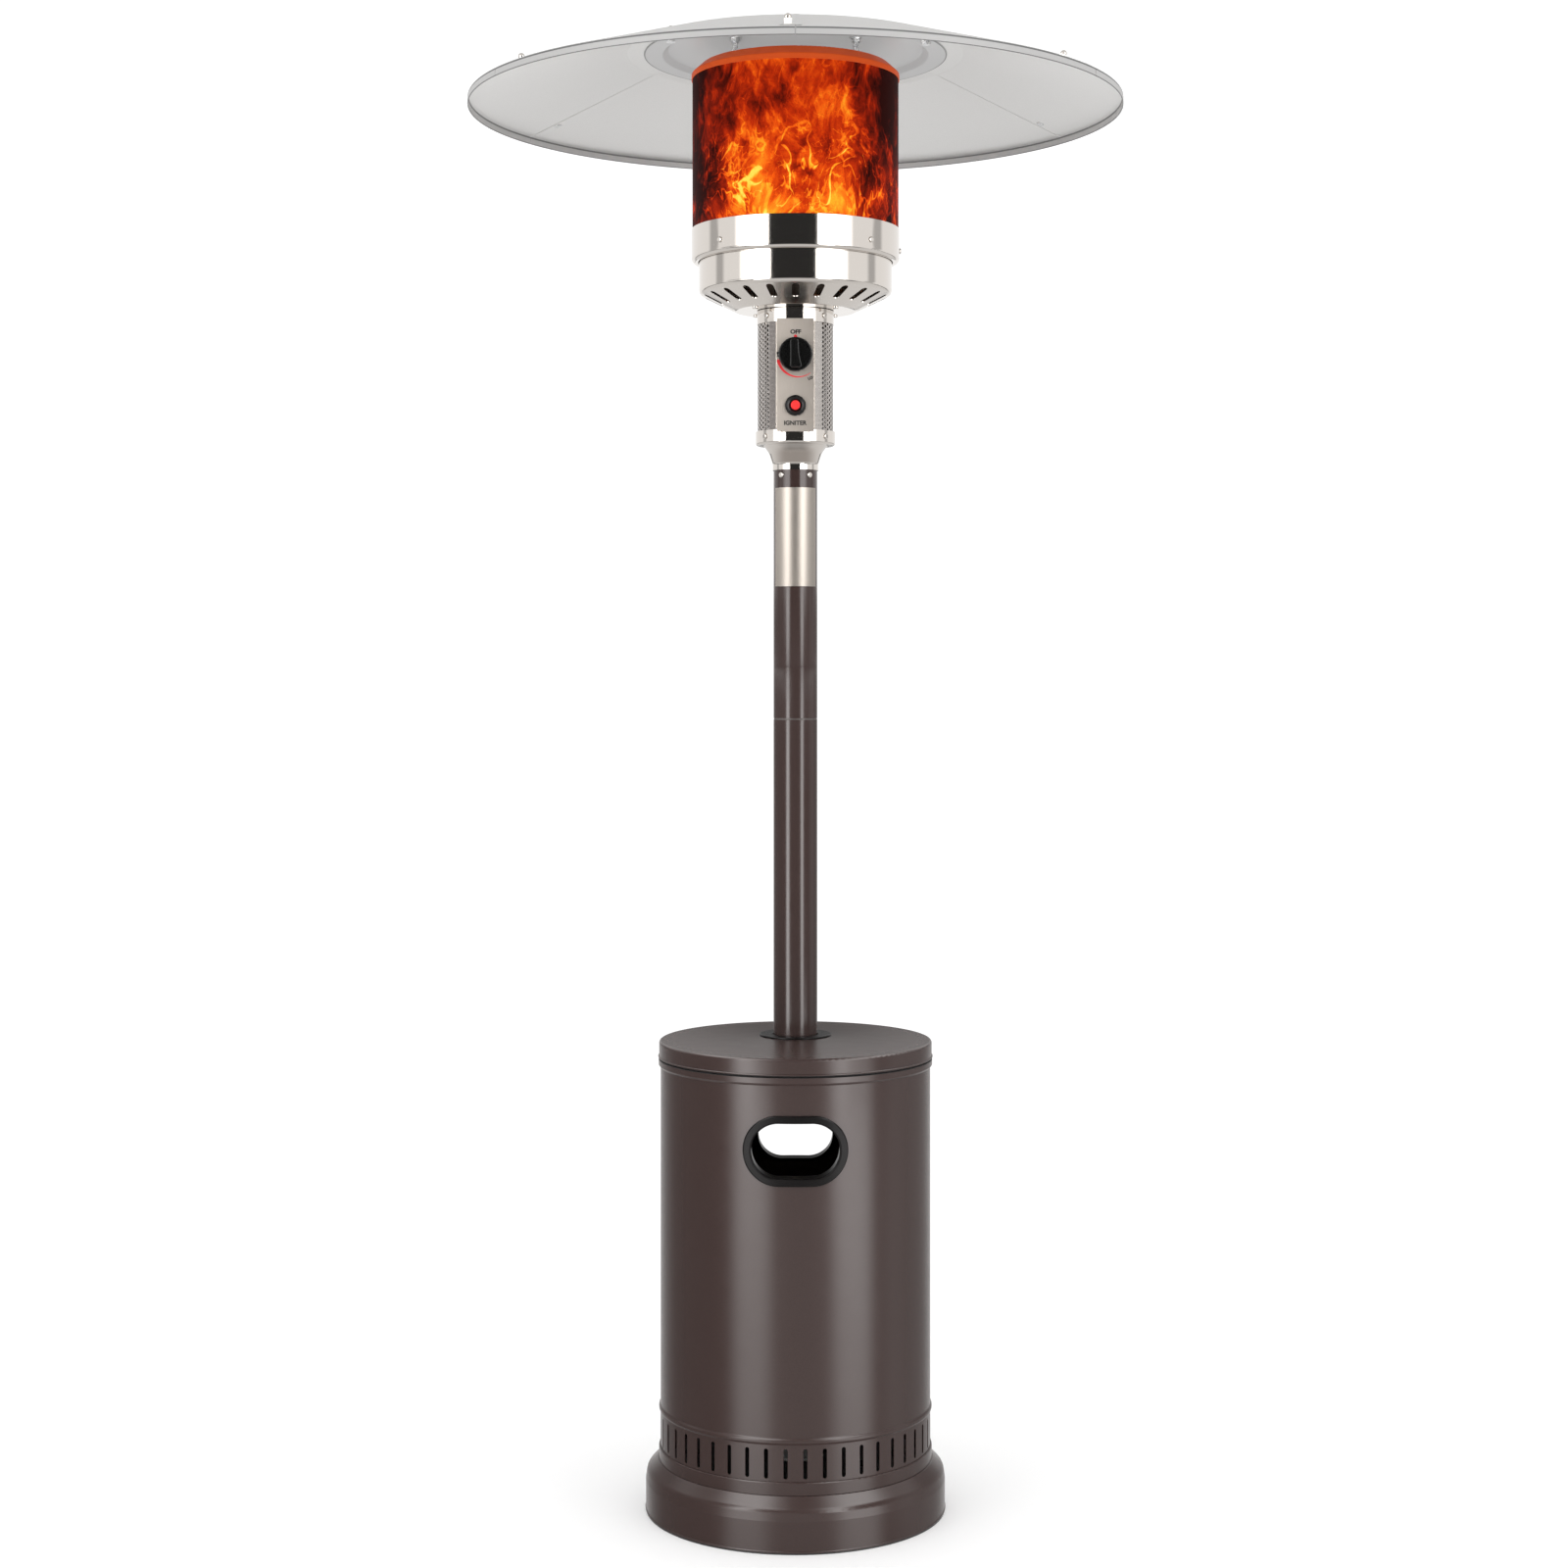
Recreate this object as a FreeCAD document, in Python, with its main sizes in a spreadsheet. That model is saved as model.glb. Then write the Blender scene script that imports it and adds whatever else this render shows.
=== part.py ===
import FreeCAD, Part
import math
import os
import Sketcher

# Free-standing gas patio heater, millimetres.
# Z is up, the origin is at the middle of the foot on the floor, the knob faces -Y.

V = FreeCAD.Vector
doc = FreeCAD.newDocument("PatioHeater")
sheet = doc.addObject("Spreadsheet::Sheet", "Dims")
PARTS = []


class Q:
    """A length: its value now and the expression that gives it from the sheet."""

    def __init__(self, v, e=None):
        self.v = float(v)
        self.e = e if e is not None else "(%.6f)" % float(v)

    @staticmethod
    def of(o):
        return o if isinstance(o, Q) else Q(o)

    def __add__(self, o):
        o = Q.of(o)
        return Q(self.v + o.v, "(%s + %s)" % (self.e, o.e))

    def __radd__(self, o):
        return Q.of(o) + self

    def __sub__(self, o):
        o = Q.of(o)
        return Q(self.v - o.v, "(%s - %s)" % (self.e, o.e))

    def __rsub__(self, o):
        return Q.of(o) - self

    def __mul__(self, o):
        o = Q.of(o)
        return Q(self.v * o.v, "(%s * %s)" % (self.e, o.e))

    def __rmul__(self, o):
        return Q.of(o) * self

    def __truediv__(self, o):
        o = Q.of(o)
        return Q(self.v / o.v, "(%s / %s)" % (self.e, o.e))


class D:
    """The driving dimensions, filled from the table below."""


TABLE = (
    # floor base
    ("plate_rad", 224.9, "floor plate, outer radius"),
    ("plate_gauge", 2, "floor plate, sheet"),
    ("plate_rise", 12, "floor plate, top of the raised disc"),
    ("base_rad", 225, "base cover, outer radius"),
    ("base_fold", 47, "base cover, height of the fold in its side"),
    ("base_high", 78, "base cover, height"),
    ("base_mouth", 203, "base cover, radius of the inner lip"),
    ("skin", 1.2, "pressed covers, sheet"),
    ("tank_rad", 184, "ballast tank, radius"),
    ("tank_top", 80, "ballast tank, height of the top"),
    ("tank_wall", 2.5, "ballast tank, wall"),
    ("well_rad", 60.5, "ballast tank, centre recess"),
    ("well_deep", 6, "ballast tank, depth of the recess"),
    ("filler_rad", 20, "ballast tank, filler hole"),
    ("dimple_deep", 18, "ballast tank, depth of the dimples"),
    ("dimple_small", 13, "ballast tank, small dimple radius"),
    ("dimple_large", 14.5, "ballast tank, large dimple radius"),
    ("plug_rad", 28.5, "filler plug, flange radius"),
    ("plug_stem", 19.7, "filler plug, stem radius"),
    # frame
    ("leg_in", 188, "leg channel, inner face"),
    ("leg_out", 197, "leg channel, flange edge"),
    ("leg_wide", 26, "leg channel, width"),
    ("leg_gauge", 2, "leg channel, sheet"),
    ("leg_top", 624, "leg channel, top"),
    ("bridge_gauge", 4, "top plate, thickness"),
    ("hub_rad", 60, "top plate, hub radius"),
    ("arm_wide", 40, "top plate, arm width"),
    ("leg_bolt_z", 606, "height of the leg bolts"),
    ("foot_bolt_at", 199, "radius of the foot bolts"),
    ("spigot_rad", 31.3, "pole spigot, outer radius"),
    ("spigot_bore", 28, "pole spigot, inner radius"),
    ("spigot_long", 76, "pole spigot, length"),
    # pole and gas line
    ("pole_rad", 33, "pole, outer radius"),
    ("pole_wall", 1.5, "pole, wall"),
    ("pole_joint", 1184.5, "top of the lower pole"),
    ("pole_top", 1590, "top of the upper pole"),
    ("bead_high", 3, "bead of the pole sleeve"),
    ("label_low", 1385, "label plate, lower edge"),
    ("label_high", 1533, "label plate, upper edge"),
    ("neck_screw_z", 1552, "screws of the neck socket"),
    ("tube_rad", 4.75, "gas tube, outer radius"),
    ("nipple_rad", 7.9, "gas inlet, radius of the thread"),
    ("nipple_long", 16, "gas inlet, length of the thread"),
    # control neck
    ("collar_rad", 60, "lower collar, outer radius"),
    ("collar_low", 1597, "lower collar, bottom"),
    ("collar_high", 1618, "lower collar, top"),
    ("mesh_rad", 56.8, "perforated neck, outer radius"),
    ("mesh_gauge", 0.8, "perforated neck, sheet"),
    ("mesh_low", 1600, "perforated neck, bottom"),
    ("mesh_high", 1797, "perforated neck, top"),
    ("mesh_wrap", 304, "perforated neck, angle of the wrap"),
    ("upper_collar_rad", 58, "upper collar, outer radius"),
    ("panel_wide", 58.6, "control panel, width"),
    ("panel_front", 62.5, "control panel, front face from the axis"),
    ("panel_back", 50, "control panel, rear edge of its sides"),
    ("panel_low", 1614, "control panel, bottom"),
    ("panel_high", 1782, "control panel, top"),
    ("knob_z", 1727.6, "height of the knob axis"),
    ("igniter_z", 1652.4, "height of the igniter axis"),
    ("knob_rad", 25.25, "knob, radius"),
    ("spindle_rad", 4, "valve spindle, radius"),
    ("push_travel", 3.5, "knob push, travel"),
    ("button_rad", 6.85, "igniter button, radius"),
    ("bezel_rad", 15.4, "igniter bezel, radius"),
    # burner head
    ("throat_rad", 55.5, "head bowl, radius of the spigot"),
    ("bowl_rad", 145.5, "head bowl, radius of the wall"),
    ("bowl_low", 1799.8, "head bowl, underside of the floor"),
    ("bowl_high", 1882.8, "head bowl, underside of the flange"),
    ("vent_count", 22, "vent slots in the bowl"),
    ("vent_half", 5.5, "vent slot, half width"),
    ("band_rad", 156.8, "head band, outer radius"),
    ("band_low", 1872.8, "head band, bottom"),
    ("band_high", 1922, "head band, top"),
    ("head_screw_z", 1891, "head band, height of the screws"),
    ("pan_rad", 153.5, "burner plate, radius"),
    ("venturi_rad", 22, "mixing tube, outer radius"),
    ("cone_rad", 75, "burner head, radius"),
    ("screen_rad", 155.2, "emitter screen, outer radius"),
    ("screen_gauge", 0.8, "emitter screen, sheet"),
    ("screen_low", 1896, "emitter screen, bottom"),
    ("screen_high", 2150, "emitter screen, top"),
    ("cap_rad", 156.6, "emitter cap, radius"),
    ("cap_high", 2169, "emitter cap, top"),
    # reflector
    ("stud_at", 126, "radius of the stud circle"),
    ("stud_rad", 4, "studs, radius"),
    ("plate_edge", 228, "reflector centre plate, radius"),
    ("plate_low", 2184.1, "reflector centre plate, underside of the rim"),
    ("fold_rad", 253, "reflector panel, fold"),
    ("rim_rad", 491, "reflector panel, outer radius"),
    ("rim_high", 2112, "reflector panel, height of the rim"),
    ("rim_low", 2101, "reflector panel, lower edge of the lip"),
    ("seam_bolt_at", 443, "radius of the seam bolts"),
    # lift-up housing
    ("shell_rad", 203, "housing, outer radius"),
    ("shell_low", 82, "housing, lower edge"),
    ("shell_neck", 664, "housing, start of the hem"),
    ("slot_count", 45, "slots round the housing"),
    ("slot_half", 3.05, "housing slot, half width"),
    ("slot_low", 101, "housing slot, lower end"),
    ("slot_high", 144, "housing slot, upper end"),
    ("ring_top", 97, "housing foot ring, upper edge"),
    ("grip_z", 570.5, "height of the front grip hole"),
    ("rear_drop", 40.5, "rear grip hole below the front one"),
    ("grip_wide", 140, "grip hole, width"),
    ("grip_tall", 90, "grip hole, height"),
    ("trim_wide", 152, "grip trim, width"),
    ("trim_tall", 101, "grip trim, height"),
    ("mouth_wide", 127, "grip trim, clear width"),
    ("mouth_tall", 79, "grip trim, clear height"),
    ("rear_mouth", 116.6, "rear grip trim, clear width"),
    ("lid_rad", 205.3, "housing lid, outer radius"),
    ("lid_low", 679, "housing lid, lower edge"),
    ("lid_edge", 703, "housing lid, height of its shoulder"),
    ("lid_peak", 709.2, "housing lid, height at the middle"),
    ("guide_bore", 34.6, "guide ring, inner radius"),
    ("guide_rad", 53.9, "guide ring, outer radius"),
)

sheet.set("A1", "name")
sheet.set("B1", "mm, degrees or count")
sheet.set("C1", "what it is")
for row, (alias, value, note) in enumerate(TABLE, start=2):
    sheet.set("A%d" % row, alias)
    sheet.set("B%d" % row, "%g" % value)
    sheet.set("C%d" % row, note)
    sheet.setAlias("B%d" % row, alias)
    setattr(D, alias, Q(value, "Dims." + alias))
doc.recompute()


def bind(obj, prop, q):
    q = Q.of(q)
    setattr(obj, prop, q.v)
    if "Dims." in q.e:
        obj.setExpression(prop, q.e)


# ------------------------------------------------------------------ sketches

def body(name, export=True):
    b = doc.addObject("PartDesign::Body", name)
    b.Label = name
    if export:
        PARTS.append(b)
    return b


def origin_item(b, role):
    return [o for o in b.Origin.OriginFeatures if o.Role == role][0]


def new_sketch(b, role, lift=0.0, turn=0.0):
    """A sketch on an origin plane, lifted along the plane's normal.

    turn, in degrees, swings an XZ sketch round Z, or spins an XY sketch."""
    s = b.newObject("Sketcher::SketchObject", b.Name + "_sketch")
    s.AttachmentSupport = [(origin_item(b, role), "")]
    s.MapMode = "FlatFace"
    q = Q.of(lift)
    axis = V(0, 0, 1) if role == "XY_Plane" else V(0, 1, 0)
    rot = FreeCAD.Rotation(axis, turn)
    away = rot.multVec(V(0, 0, 1))
    s.AttachmentOffset = FreeCAD.Placement(away * q.v, rot)
    if "Dims." in q.e:
        for letter, part in (("x", away.x), ("z", away.z)):
            if abs(part) > 1e-9:
                s.setExpression("AttachmentOffset.Base." + letter, "%s * %.9f" % (q.e, part))
    return s


def dimension(s, kind, args, q, name):
    q = Q.of(q)
    i = s.addConstraint(Sketcher.Constraint(kind, *args, q.v))
    s.renameConstraint(i, name)
    if "Dims." in q.e:
        s.setExpression("Constraints." + name, q.e)


def place_point(s, geo, pos, x, y, tag):
    x, y = Q.of(x), Q.of(y)
    if abs(x.v) < 1e-9:
        s.addConstraint(Sketcher.Constraint("PointOnObject", geo, pos, -2))
    else:
        dimension(s, "DistanceX", (-1, 1, geo, pos), x, "x" + tag)
    if abs(y.v) < 1e-9:
        s.addConstraint(Sketcher.Constraint("PointOnObject", geo, pos, -1))
    else:
        dimension(s, "DistanceY", (-1, 1, geo, pos), y, "y" + tag)


def unit(a, b):
    d = (b[0] - a[0], b[1] - a[1])
    n = math.hypot(*d)
    return (d[0] / n, d[1] / n)


def bend(p, d1, d2, r):
    """Tangent points, centre and turning side of the arc of radius r at corner p."""
    cross = d1[0] * d2[1] - d1[1] * d2[0]
    dot = d1[0] * d2[0] + d1[1] * d2[1]
    run = r * math.tan(math.atan2(abs(cross), dot) / 2)
    t1 = (p[0] - run * d1[0], p[1] - run * d1[1])
    t2 = (p[0] + run * d2[0], p[1] + run * d2[1])
    side = 1.0 if cross > 0 else -1.0
    c = (t1[0] - side * r * d1[1], t1[1] + side * r * d1[0])
    return t1, t2, c, side


def arc_between(t1, t2, c, r, side):
    a1 = math.atan2(t1[1] - c[1], t1[0] - c[0])
    a2 = math.atan2(t2[1] - c[1], t2[0] - c[0])
    circ = Part.Circle(V(c[0], c[1], 0), V(0, 0, 1), r)
    if side > 0:
        if a2 < a1:
            a2 += 2 * math.pi
        return Part.ArcOfCircle(circ, a1, a2), 1, 2
    if a1 < a2:
        a1 += 2 * math.pi
    return Part.ArcOfCircle(circ, a2, a1), 2, 1


def chain(s, xy, radii, tag, closed):
    """Straight runs through xy with a tangent arc at each corner that has a radius."""
    n = len(xy)
    runs = n if closed else n - 1
    dirs = [unit(xy[i], xy[(i + 1) % n]) for i in range(runs)]
    starts = [xy[i] for i in range(runs)]
    ends = [xy[(i + 1) % n] for i in range(runs)]
    corners = range(n) if closed else range(1, n - 1)
    arcs = {}
    for i in corners:
        if radii[i] is not None:
            t1, t2, c, side = bend(xy[i], dirs[i - 1], dirs[i], radii[i].v)
            ends[i - 1], starts[i] = t1, t2
            arcs[i] = (t1, t2, c, side)
    lines = []
    for a, b, d in zip(starts, ends, dirs):
        u = unit(a, b)
        if u[0] * d[0] + u[1] * d[1] < 0.9:
            raise ValueError("radii too large in %s" % s.Name)
        lines.append(s.addGeometry(Part.LineSegment(V(a[0], a[1], 0), V(b[0], b[1], 0)), False))
    for i in corners:
        before, after = lines[i - 1], lines[i]
        if i in arcs:
            t1, t2, c, side = arcs[i]
            arc, i1, i2 = arc_between(t1, t2, c, radii[i].v, side)
            g = s.addGeometry(arc, False)
            s.addConstraint(Sketcher.Constraint("Tangent", before, 2, g, i1))
            s.addConstraint(Sketcher.Constraint("Tangent", after, 1, g, i2))
            dimension(s, "Radius", (g,), radii[i], "r%s%d" % (tag, i))
        else:
            s.addConstraint(Sketcher.Constraint("Coincident", before, 2, after, 1))
    return lines


def pin_corner(s, lines, i, x, y, radius, tag):
    """Dimension a corner of a chain: its point, or the point where its runs would meet."""
    if radius is None:
        place_point(s, lines[i], 1, x, y, tag)
        return
    p = s.addGeometry(Part.Point(V(Q.of(x).v, Q.of(y).v, 0)), True)
    place_point(s, p, 1, x, y, tag)
    s.addConstraint(Sketcher.Constraint("PointOnObject", p, 1, lines[i - 1]))
    s.addConstraint(Sketcher.Constraint("PointOnObject", p, 1, lines[i]))


def read_points(pts):
    xs = [Q.of(p[0]) for p in pts]
    ys = [Q.of(p[1]) for p in pts]
    rs = [Q.of(p[2]) if len(p) > 2 else None for p in pts]
    return xs, ys, rs, [(x.v, y.v) for x, y in zip(xs, ys)]


def outline(s, pts, tag=""):
    """A closed outline; each point is (x, y) or (x, y, corner radius)."""
    xs, ys, rs, xy = read_points(pts)
    lines = chain(s, xy, rs, tag, True)
    for i in range(len(pts)):
        pin_corner(s, lines, i, xs[i], ys[i], rs[i], "%s%d" % (tag, i))


def route(s, pts):
    """An open route of straight runs and bends."""
    xs, ys, rs, xy = read_points(pts)
    lines = chain(s, xy, rs, "", False)
    place_point(s, lines[0], 1, xs[0], ys[0], "0")
    for i in range(1, len(pts) - 1):
        pin_corner(s, lines, i, xs[i], ys[i], rs[i], "%d" % i)
    place_point(s, lines[-1], 2, xs[-1], ys[-1], "%d" % (len(pts) - 1))


def sheet_outline(s, pts, gauge):
    """A bent sheet: one face runs through pts, the other lies on its left."""
    gauge = Q.of(gauge)
    xs, ys, rs, xy = read_points(pts)
    n = len(xy)
    dirs = [unit(xy[i], xy[i + 1]) for i in range(n - 1)]
    off = [(-d[1] * gauge.v, d[0] * gauge.v) for d in dirs]
    second = [(xy[0][0] + off[0][0], xy[0][1] + off[0][1])]
    radii = [None] * n
    for i in range(1, n - 1):
        a, b = off[i - 1], off[i]
        k = 1 + (a[0] * b[0] + a[1] * b[1]) / gauge.v ** 2
        second.append((xy[i][0] + (a[0] + b[0]) / k, xy[i][1] + (a[1] + b[1]) / k))
        if rs[i] is not None:
            left = dirs[i - 1][0] * dirs[i][1] - dirs[i - 1][1] * dirs[i][0] > 0
            r = rs[i] - gauge if left else rs[i] + gauge
            radii[i] = r if r.v > 0.05 else None
    second.append((xy[-1][0] + off[-1][0], xy[-1][1] + off[-1][1]))
    la = chain(s, xy, rs, "a", False)
    lb = chain(s, second, radii, "b", False)
    place_point(s, la[0], 1, xs[0], ys[0], "0")
    for i in range(1, n - 1):
        pin_corner(s, la, i, xs[i], ys[i], rs[i], "%d" % i)
    place_point(s, la[-1], 2, xs[-1], ys[-1], "%d" % (n - 1))
    for i in range(n - 1):
        s.addConstraint(Sketcher.Constraint("Parallel", la[i], lb[i]))
        dimension(s, "Distance", (lb[i], 1, la[i]), gauge, "gauge%d" % i)
    for ga, gb, pos in ((la[0], lb[0], 1), (la[-1], lb[-1], 2)):
        a, b = s.getPoint(ga, pos), s.getPoint(gb, pos)
        end = s.addGeometry(Part.LineSegment(V(a.x, a.y, 0), V(b.x, b.y, 0)), False)
        s.addConstraint(Sketcher.Constraint("Coincident", end, 1, ga, pos))
        s.addConstraint(Sketcher.Constraint("Coincident", end, 2, gb, pos))
        s.addConstraint(Sketcher.Constraint("Perpendicular", end, ga))


def circle(s, x, y, r, tag=""):
    x, y, r = Q.of(x), Q.of(y), Q.of(r)
    g = s.addGeometry(Part.Circle(V(x.v, y.v, 0), V(0, 0, 1), r.v), False)
    place_point(s, g, 3, x, y, "c" + tag)
    dimension(s, "Radius", (g,), r, "rc" + tag)


def stadium(s, x, y, wide, tall):
    """A slot with round ends, as wide and as tall as given."""
    x, y, wide, tall = Q.of(x), Q.of(y), Q.of(wide), Q.of(tall)
    lying = wide.v > tall.v
    r = (tall if lying else wide) / 2
    half = (wide - tall) / 2 if lying else (tall - wide) / 2
    ux, uy = (1, 0) if lying else (0, 1)
    a = (x.v - half.v * ux, y.v - half.v * uy)
    b = (x.v + half.v * ux, y.v + half.v * uy)
    nx, ny = -uy * r.v, ux * r.v
    l1 = s.addGeometry(Part.LineSegment(V(b[0] + nx, b[1] + ny, 0), V(a[0] + nx, a[1] + ny, 0)), False)
    l2 = s.addGeometry(Part.LineSegment(V(a[0] - nx, a[1] - ny, 0), V(b[0] - nx, b[1] - ny, 0)), False)
    start = math.atan2(ny, nx)
    ga = s.addGeometry(Part.ArcOfCircle(Part.Circle(V(a[0], a[1], 0), V(0, 0, 1), r.v), start, start + math.pi), False)
    gb = s.addGeometry(Part.ArcOfCircle(Part.Circle(V(b[0], b[1], 0), V(0, 0, 1), r.v), start - math.pi, start), False)
    s.addConstraint(Sketcher.Constraint("Tangent", l1, 2, ga, 1))
    s.addConstraint(Sketcher.Constraint("Tangent", l2, 1, ga, 2))
    s.addConstraint(Sketcher.Constraint("Tangent", l2, 2, gb, 1))
    s.addConstraint(Sketcher.Constraint("Tangent", l1, 1, gb, 2))
    dimension(s, "Radius", (ga,), r, "round")
    place_point(s, ga, 3, x - half if lying else x, y if lying else y - half, "first")
    place_point(s, gb, 3, x + half if lying else x, y if lying else y + half, "last")


# ------------------------------------------------------------------ features

def revolve(b, s, angle=360.0, both=False):
    f = b.newObject("PartDesign::Revolution", b.Name + "_revolution")
    f.Profile = s
    f.ReferenceAxis = (s, ["V_Axis"])
    f.Midplane = both
    bind(f, "Angle", angle)
    return f


def turned(b, pts, gauge=None, **where):
    """One revolution: a solid outline, or a bent sheet where a gauge is given."""
    s = new_sketch(b, "XZ_Plane", **where)
    if gauge is None:
        outline(s, pts)
    else:
        sheet_outline(s, pts, gauge)
    return revolve(b, s)


def pad(b, s, length, back=False):
    f = b.newObject("PartDesign::Pad", b.Name + "_pad")
    f.Profile = s
    bind(f, "Length", length)
    f.Reversed = back
    return f


def cut(b, s, length=None, back=False):
    """A pocket through everything, or to one side by a length; it has to remove material."""
    doc.recompute()
    before = b.Shape.Volume
    f = b.newObject("PartDesign::Pocket", b.Name + "_pocket")
    f.Profile = s
    if length is None:
        f.Type = "ThroughAll"
        f.SideType = "Symmetric"
    else:
        bind(f, "Length", length)
        f.Reversed = back
    doc.recompute()
    if not b.Shape.Volume < before - 1e-3:
        raise RuntimeError("pocket of %s removes nothing" % b.Name)
    return f


def around(b, features, count):
    f = b.newObject("PartDesign::PolarPattern", b.Name + "_pattern")
    f.Originals = features
    f.Axis = (origin_item(b, "Z_Axis"), [""])
    f.Angle = 360
    q = Q.of(count)
    f.Occurrences = int(q.v)
    if "Dims." in q.e:
        f.setExpression("Occurrences", q.e)
    b.Tip = f
    return f


def round_edges(b, feature, radius, pick):
    doc.recompute()
    names = ["Edge%d" % (i + 1) for i, e in enumerate(feature.Shape.Edges) if pick(e)]
    f = b.newObject("PartDesign::Fillet", b.Name + "_fillet")
    f.Base = (feature, names)
    bind(f, "Radius", radius)
    return f


def cross_holes(b, z, r, turns):
    """Holes along lines through the axis at height z; each line leaves on both sides."""
    for a in turns:
        s = new_sketch(b, "XZ_Plane", turn=a)
        circle(s, 0, z, r)
        cut(b, s)


def facing_front(z):
    """A body whose own axis points at the viewer, at height z."""
    return FreeCAD.Placement(V(0, 0, z), FreeCAD.Rotation(V(1, 0, 0), 90))


def raise_by(b, z):
    if "Dims." in z.e:
        b.setExpression("Placement.Base.z", z.e)


# ----------------------------------------------------------------- fasteners

def cylinder(name, r, length, z=0.0):
    o = doc.addObject("Part::Cylinder", name)
    bind(o, "Radius", r)
    bind(o, "Height", length)
    o.Placement.Base = V(0, 0, z)
    return o


def hexagon(name, across, length, z=0.0):
    o = doc.addObject("Part::Prism", name)
    o.Polygon = 6
    bind(o, "Circumradius", Q.of(across) * 0.57735027)
    bind(o, "Height", length)
    o.Placement.Base = V(0, 0, z)
    return o


def fuse(name, items):
    o = doc.addObject("Part::MultiFuse", name)
    o.Shapes = items
    return o


def minus(name, base, tool):
    o = doc.addObject("Part::Cut", name)
    o.Base = base
    o.Tool = tool
    return o


def common(name, base, tool):
    o = doc.addObject("Part::Common", name)
    o.Base = base
    o.Tool = tool
    return o


def hex_bolt(name, shank, across, head, length):
    """Head below its seat at z = 0, shank along +Z."""
    return fuse(name, [hexagon(name + "_head", across, head, -Q.of(head).v),
                       cylinder(name + "_shank", shank, length)])


def hex_nut(name, bore, across, length):
    return minus(name, hexagon(name + "_hex", across, length), cylinder(name + "_bore", bore, length + 2, -1))


def cap_nut(name, bore, across, flat, dome_at, depth):
    dome = across * 0.46
    ball = doc.addObject("Part::Sphere", name + "_ball")
    ball.Radius = dome
    ball.Placement.Base = V(0, 0, dome_at)
    solid = fuse(name + "_solid", [hexagon(name + "_hex", across, flat), cylinder(name + "_neck", dome, dome_at), ball])
    low = doc.addObject("Part::Box", name + "_low")
    low.Length, low.Width, low.Height = 40, 40, 20
    low.Placement.Base = V(-20, -20, -20)
    seated = minus(name + "_seated", solid, low)
    return minus(name, seated, cylinder(name + "_bore", bore, depth + 1, -1))


def group(label, items):
    """Solids of one kind or set, each a linked copy of its pattern piece."""
    links = []
    for source, placement in items:
        link = doc.addObject("App::Link", label + "_item")
        link.LinkedObject = source
        link.Placement = placement
        links.append(link)
    o = doc.addObject("Part::Compound", label)
    o.Label = label
    o.Links = links
    PARTS.append(o)
    return o


def upright(r, azimuth, z, flip=False):
    a = math.radians(azimuth)
    rot = FreeCAD.Rotation(V(0, 0, 1), azimuth)
    if flip:
        rot = rot.multiply(FreeCAD.Rotation(V(1, 0, 0), 180))
    return FreeCAD.Placement(V(r * math.cos(a), r * math.sin(a), z), rot)


def inward(r, azimuth, z):
    """Shank towards the axis, head on the outside at radius r."""
    a = math.radians(azimuth)
    rot = FreeCAD.Rotation(V(0, 0, 1), azimuth).multiply(FreeCAD.Rotation(V(0, 1, 0), -90))
    return FreeCAD.Placement(V(r * math.cos(a), r * math.sin(a), z), rot)


def leaning(r, azimuth, z, lean, lift=0.0):
    """Axis tipped outwards by lean degrees, moved along that axis by lift."""
    a = math.radians(azimuth)
    rot = FreeCAD.Rotation(V(0, 0, 1), azimuth).multiply(FreeCAD.Rotation(V(0, 1, 0), lean))
    return FreeCAD.Placement(V(r * math.cos(a), r * math.sin(a), z) + rot.multVec(V(0, 0, lift)), rot)


bolt_m6 = hex_bolt("bolt_m6", 3.0, 10.0, 4.0, 10.0)
bolt_m6_seam = fuse("bolt_m6_seam", [cylinder("bolt_m6_seam_head", 6.2, 0.7, -0.7), cylinder("bolt_m6_seam_shank", 3.0, 9.0)])
bolt_m8 = hex_bolt("bolt_m8", 4.0, 13.0, 5.3, 14.0)
nut_m6 = hex_nut("nut_m6", 3.05, 10.0, 5.0)
nut_m8 = hex_nut("nut_m8", 4.05, 13.0, 6.5)
thin_nut_m8 = hex_nut("thin_nut_m8", 4.05, 13.0, 4.0)
washer_m8 = minus("washer_m8", cylinder("washer_m8_disc", 8.0, 1.6), cylinder("washer_m8_bore", 4.2, 3.6, -1))
flange_nut_m8 = minus("flange_nut_m8",
                      fuse("flange_nut_solid", [hexagon("flange_nut_hex", 13.0, 6.7), cylinder("flange_nut_rim", 8.9, 1.4)]),
                      cylinder("flange_nut_bore", 4.05, 8.7, -1))
cap_nut_m6 = cap_nut("cap_nut_m6", 3.05, 10.0, 5.5, 7.4, 8.0)
cap_nut_m8 = cap_nut("cap_nut_m8", 4.05, 13.0, 6.5, 9.0, 11.0)

pan_screw = body("pan_screw", export=False)
turned(pan_screw, [(0, -2.6), (4.4, -2.6, 1.9), (4.4, 0), (2.45, 0), (2.45, 6), (0, 6)])

# ---------------------------------------------------------------- floor base

b = body("base_plate")
under = D.plate_rise - D.plate_gauge
turned(b, [(0, under), (206, under, 3), (213, 0, 3), (D.plate_rad, 0)], D.plate_gauge)
s = new_sketch(b, "XY_Plane")
circle(s, D.foot_bolt_at, 0, 3.3)
around(b, [cut(b, s)], 3)

b = body("base_cover")
turned(b, [(D.base_rad, 2), (D.base_rad, D.base_fold, 2.5), (D.base_rad - 2.2, D.base_fold + 15, 12),
           (206.6, D.base_high, 1.8), (D.base_mouth, D.base_high, 2), (D.base_mouth, D.base_high - 10)], D.skin)
s = new_sketch(b, "XZ_Plane")
circle(s, D.base_rad - 0.6, 3.5, 1.5)
revolve(b, s)

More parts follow.
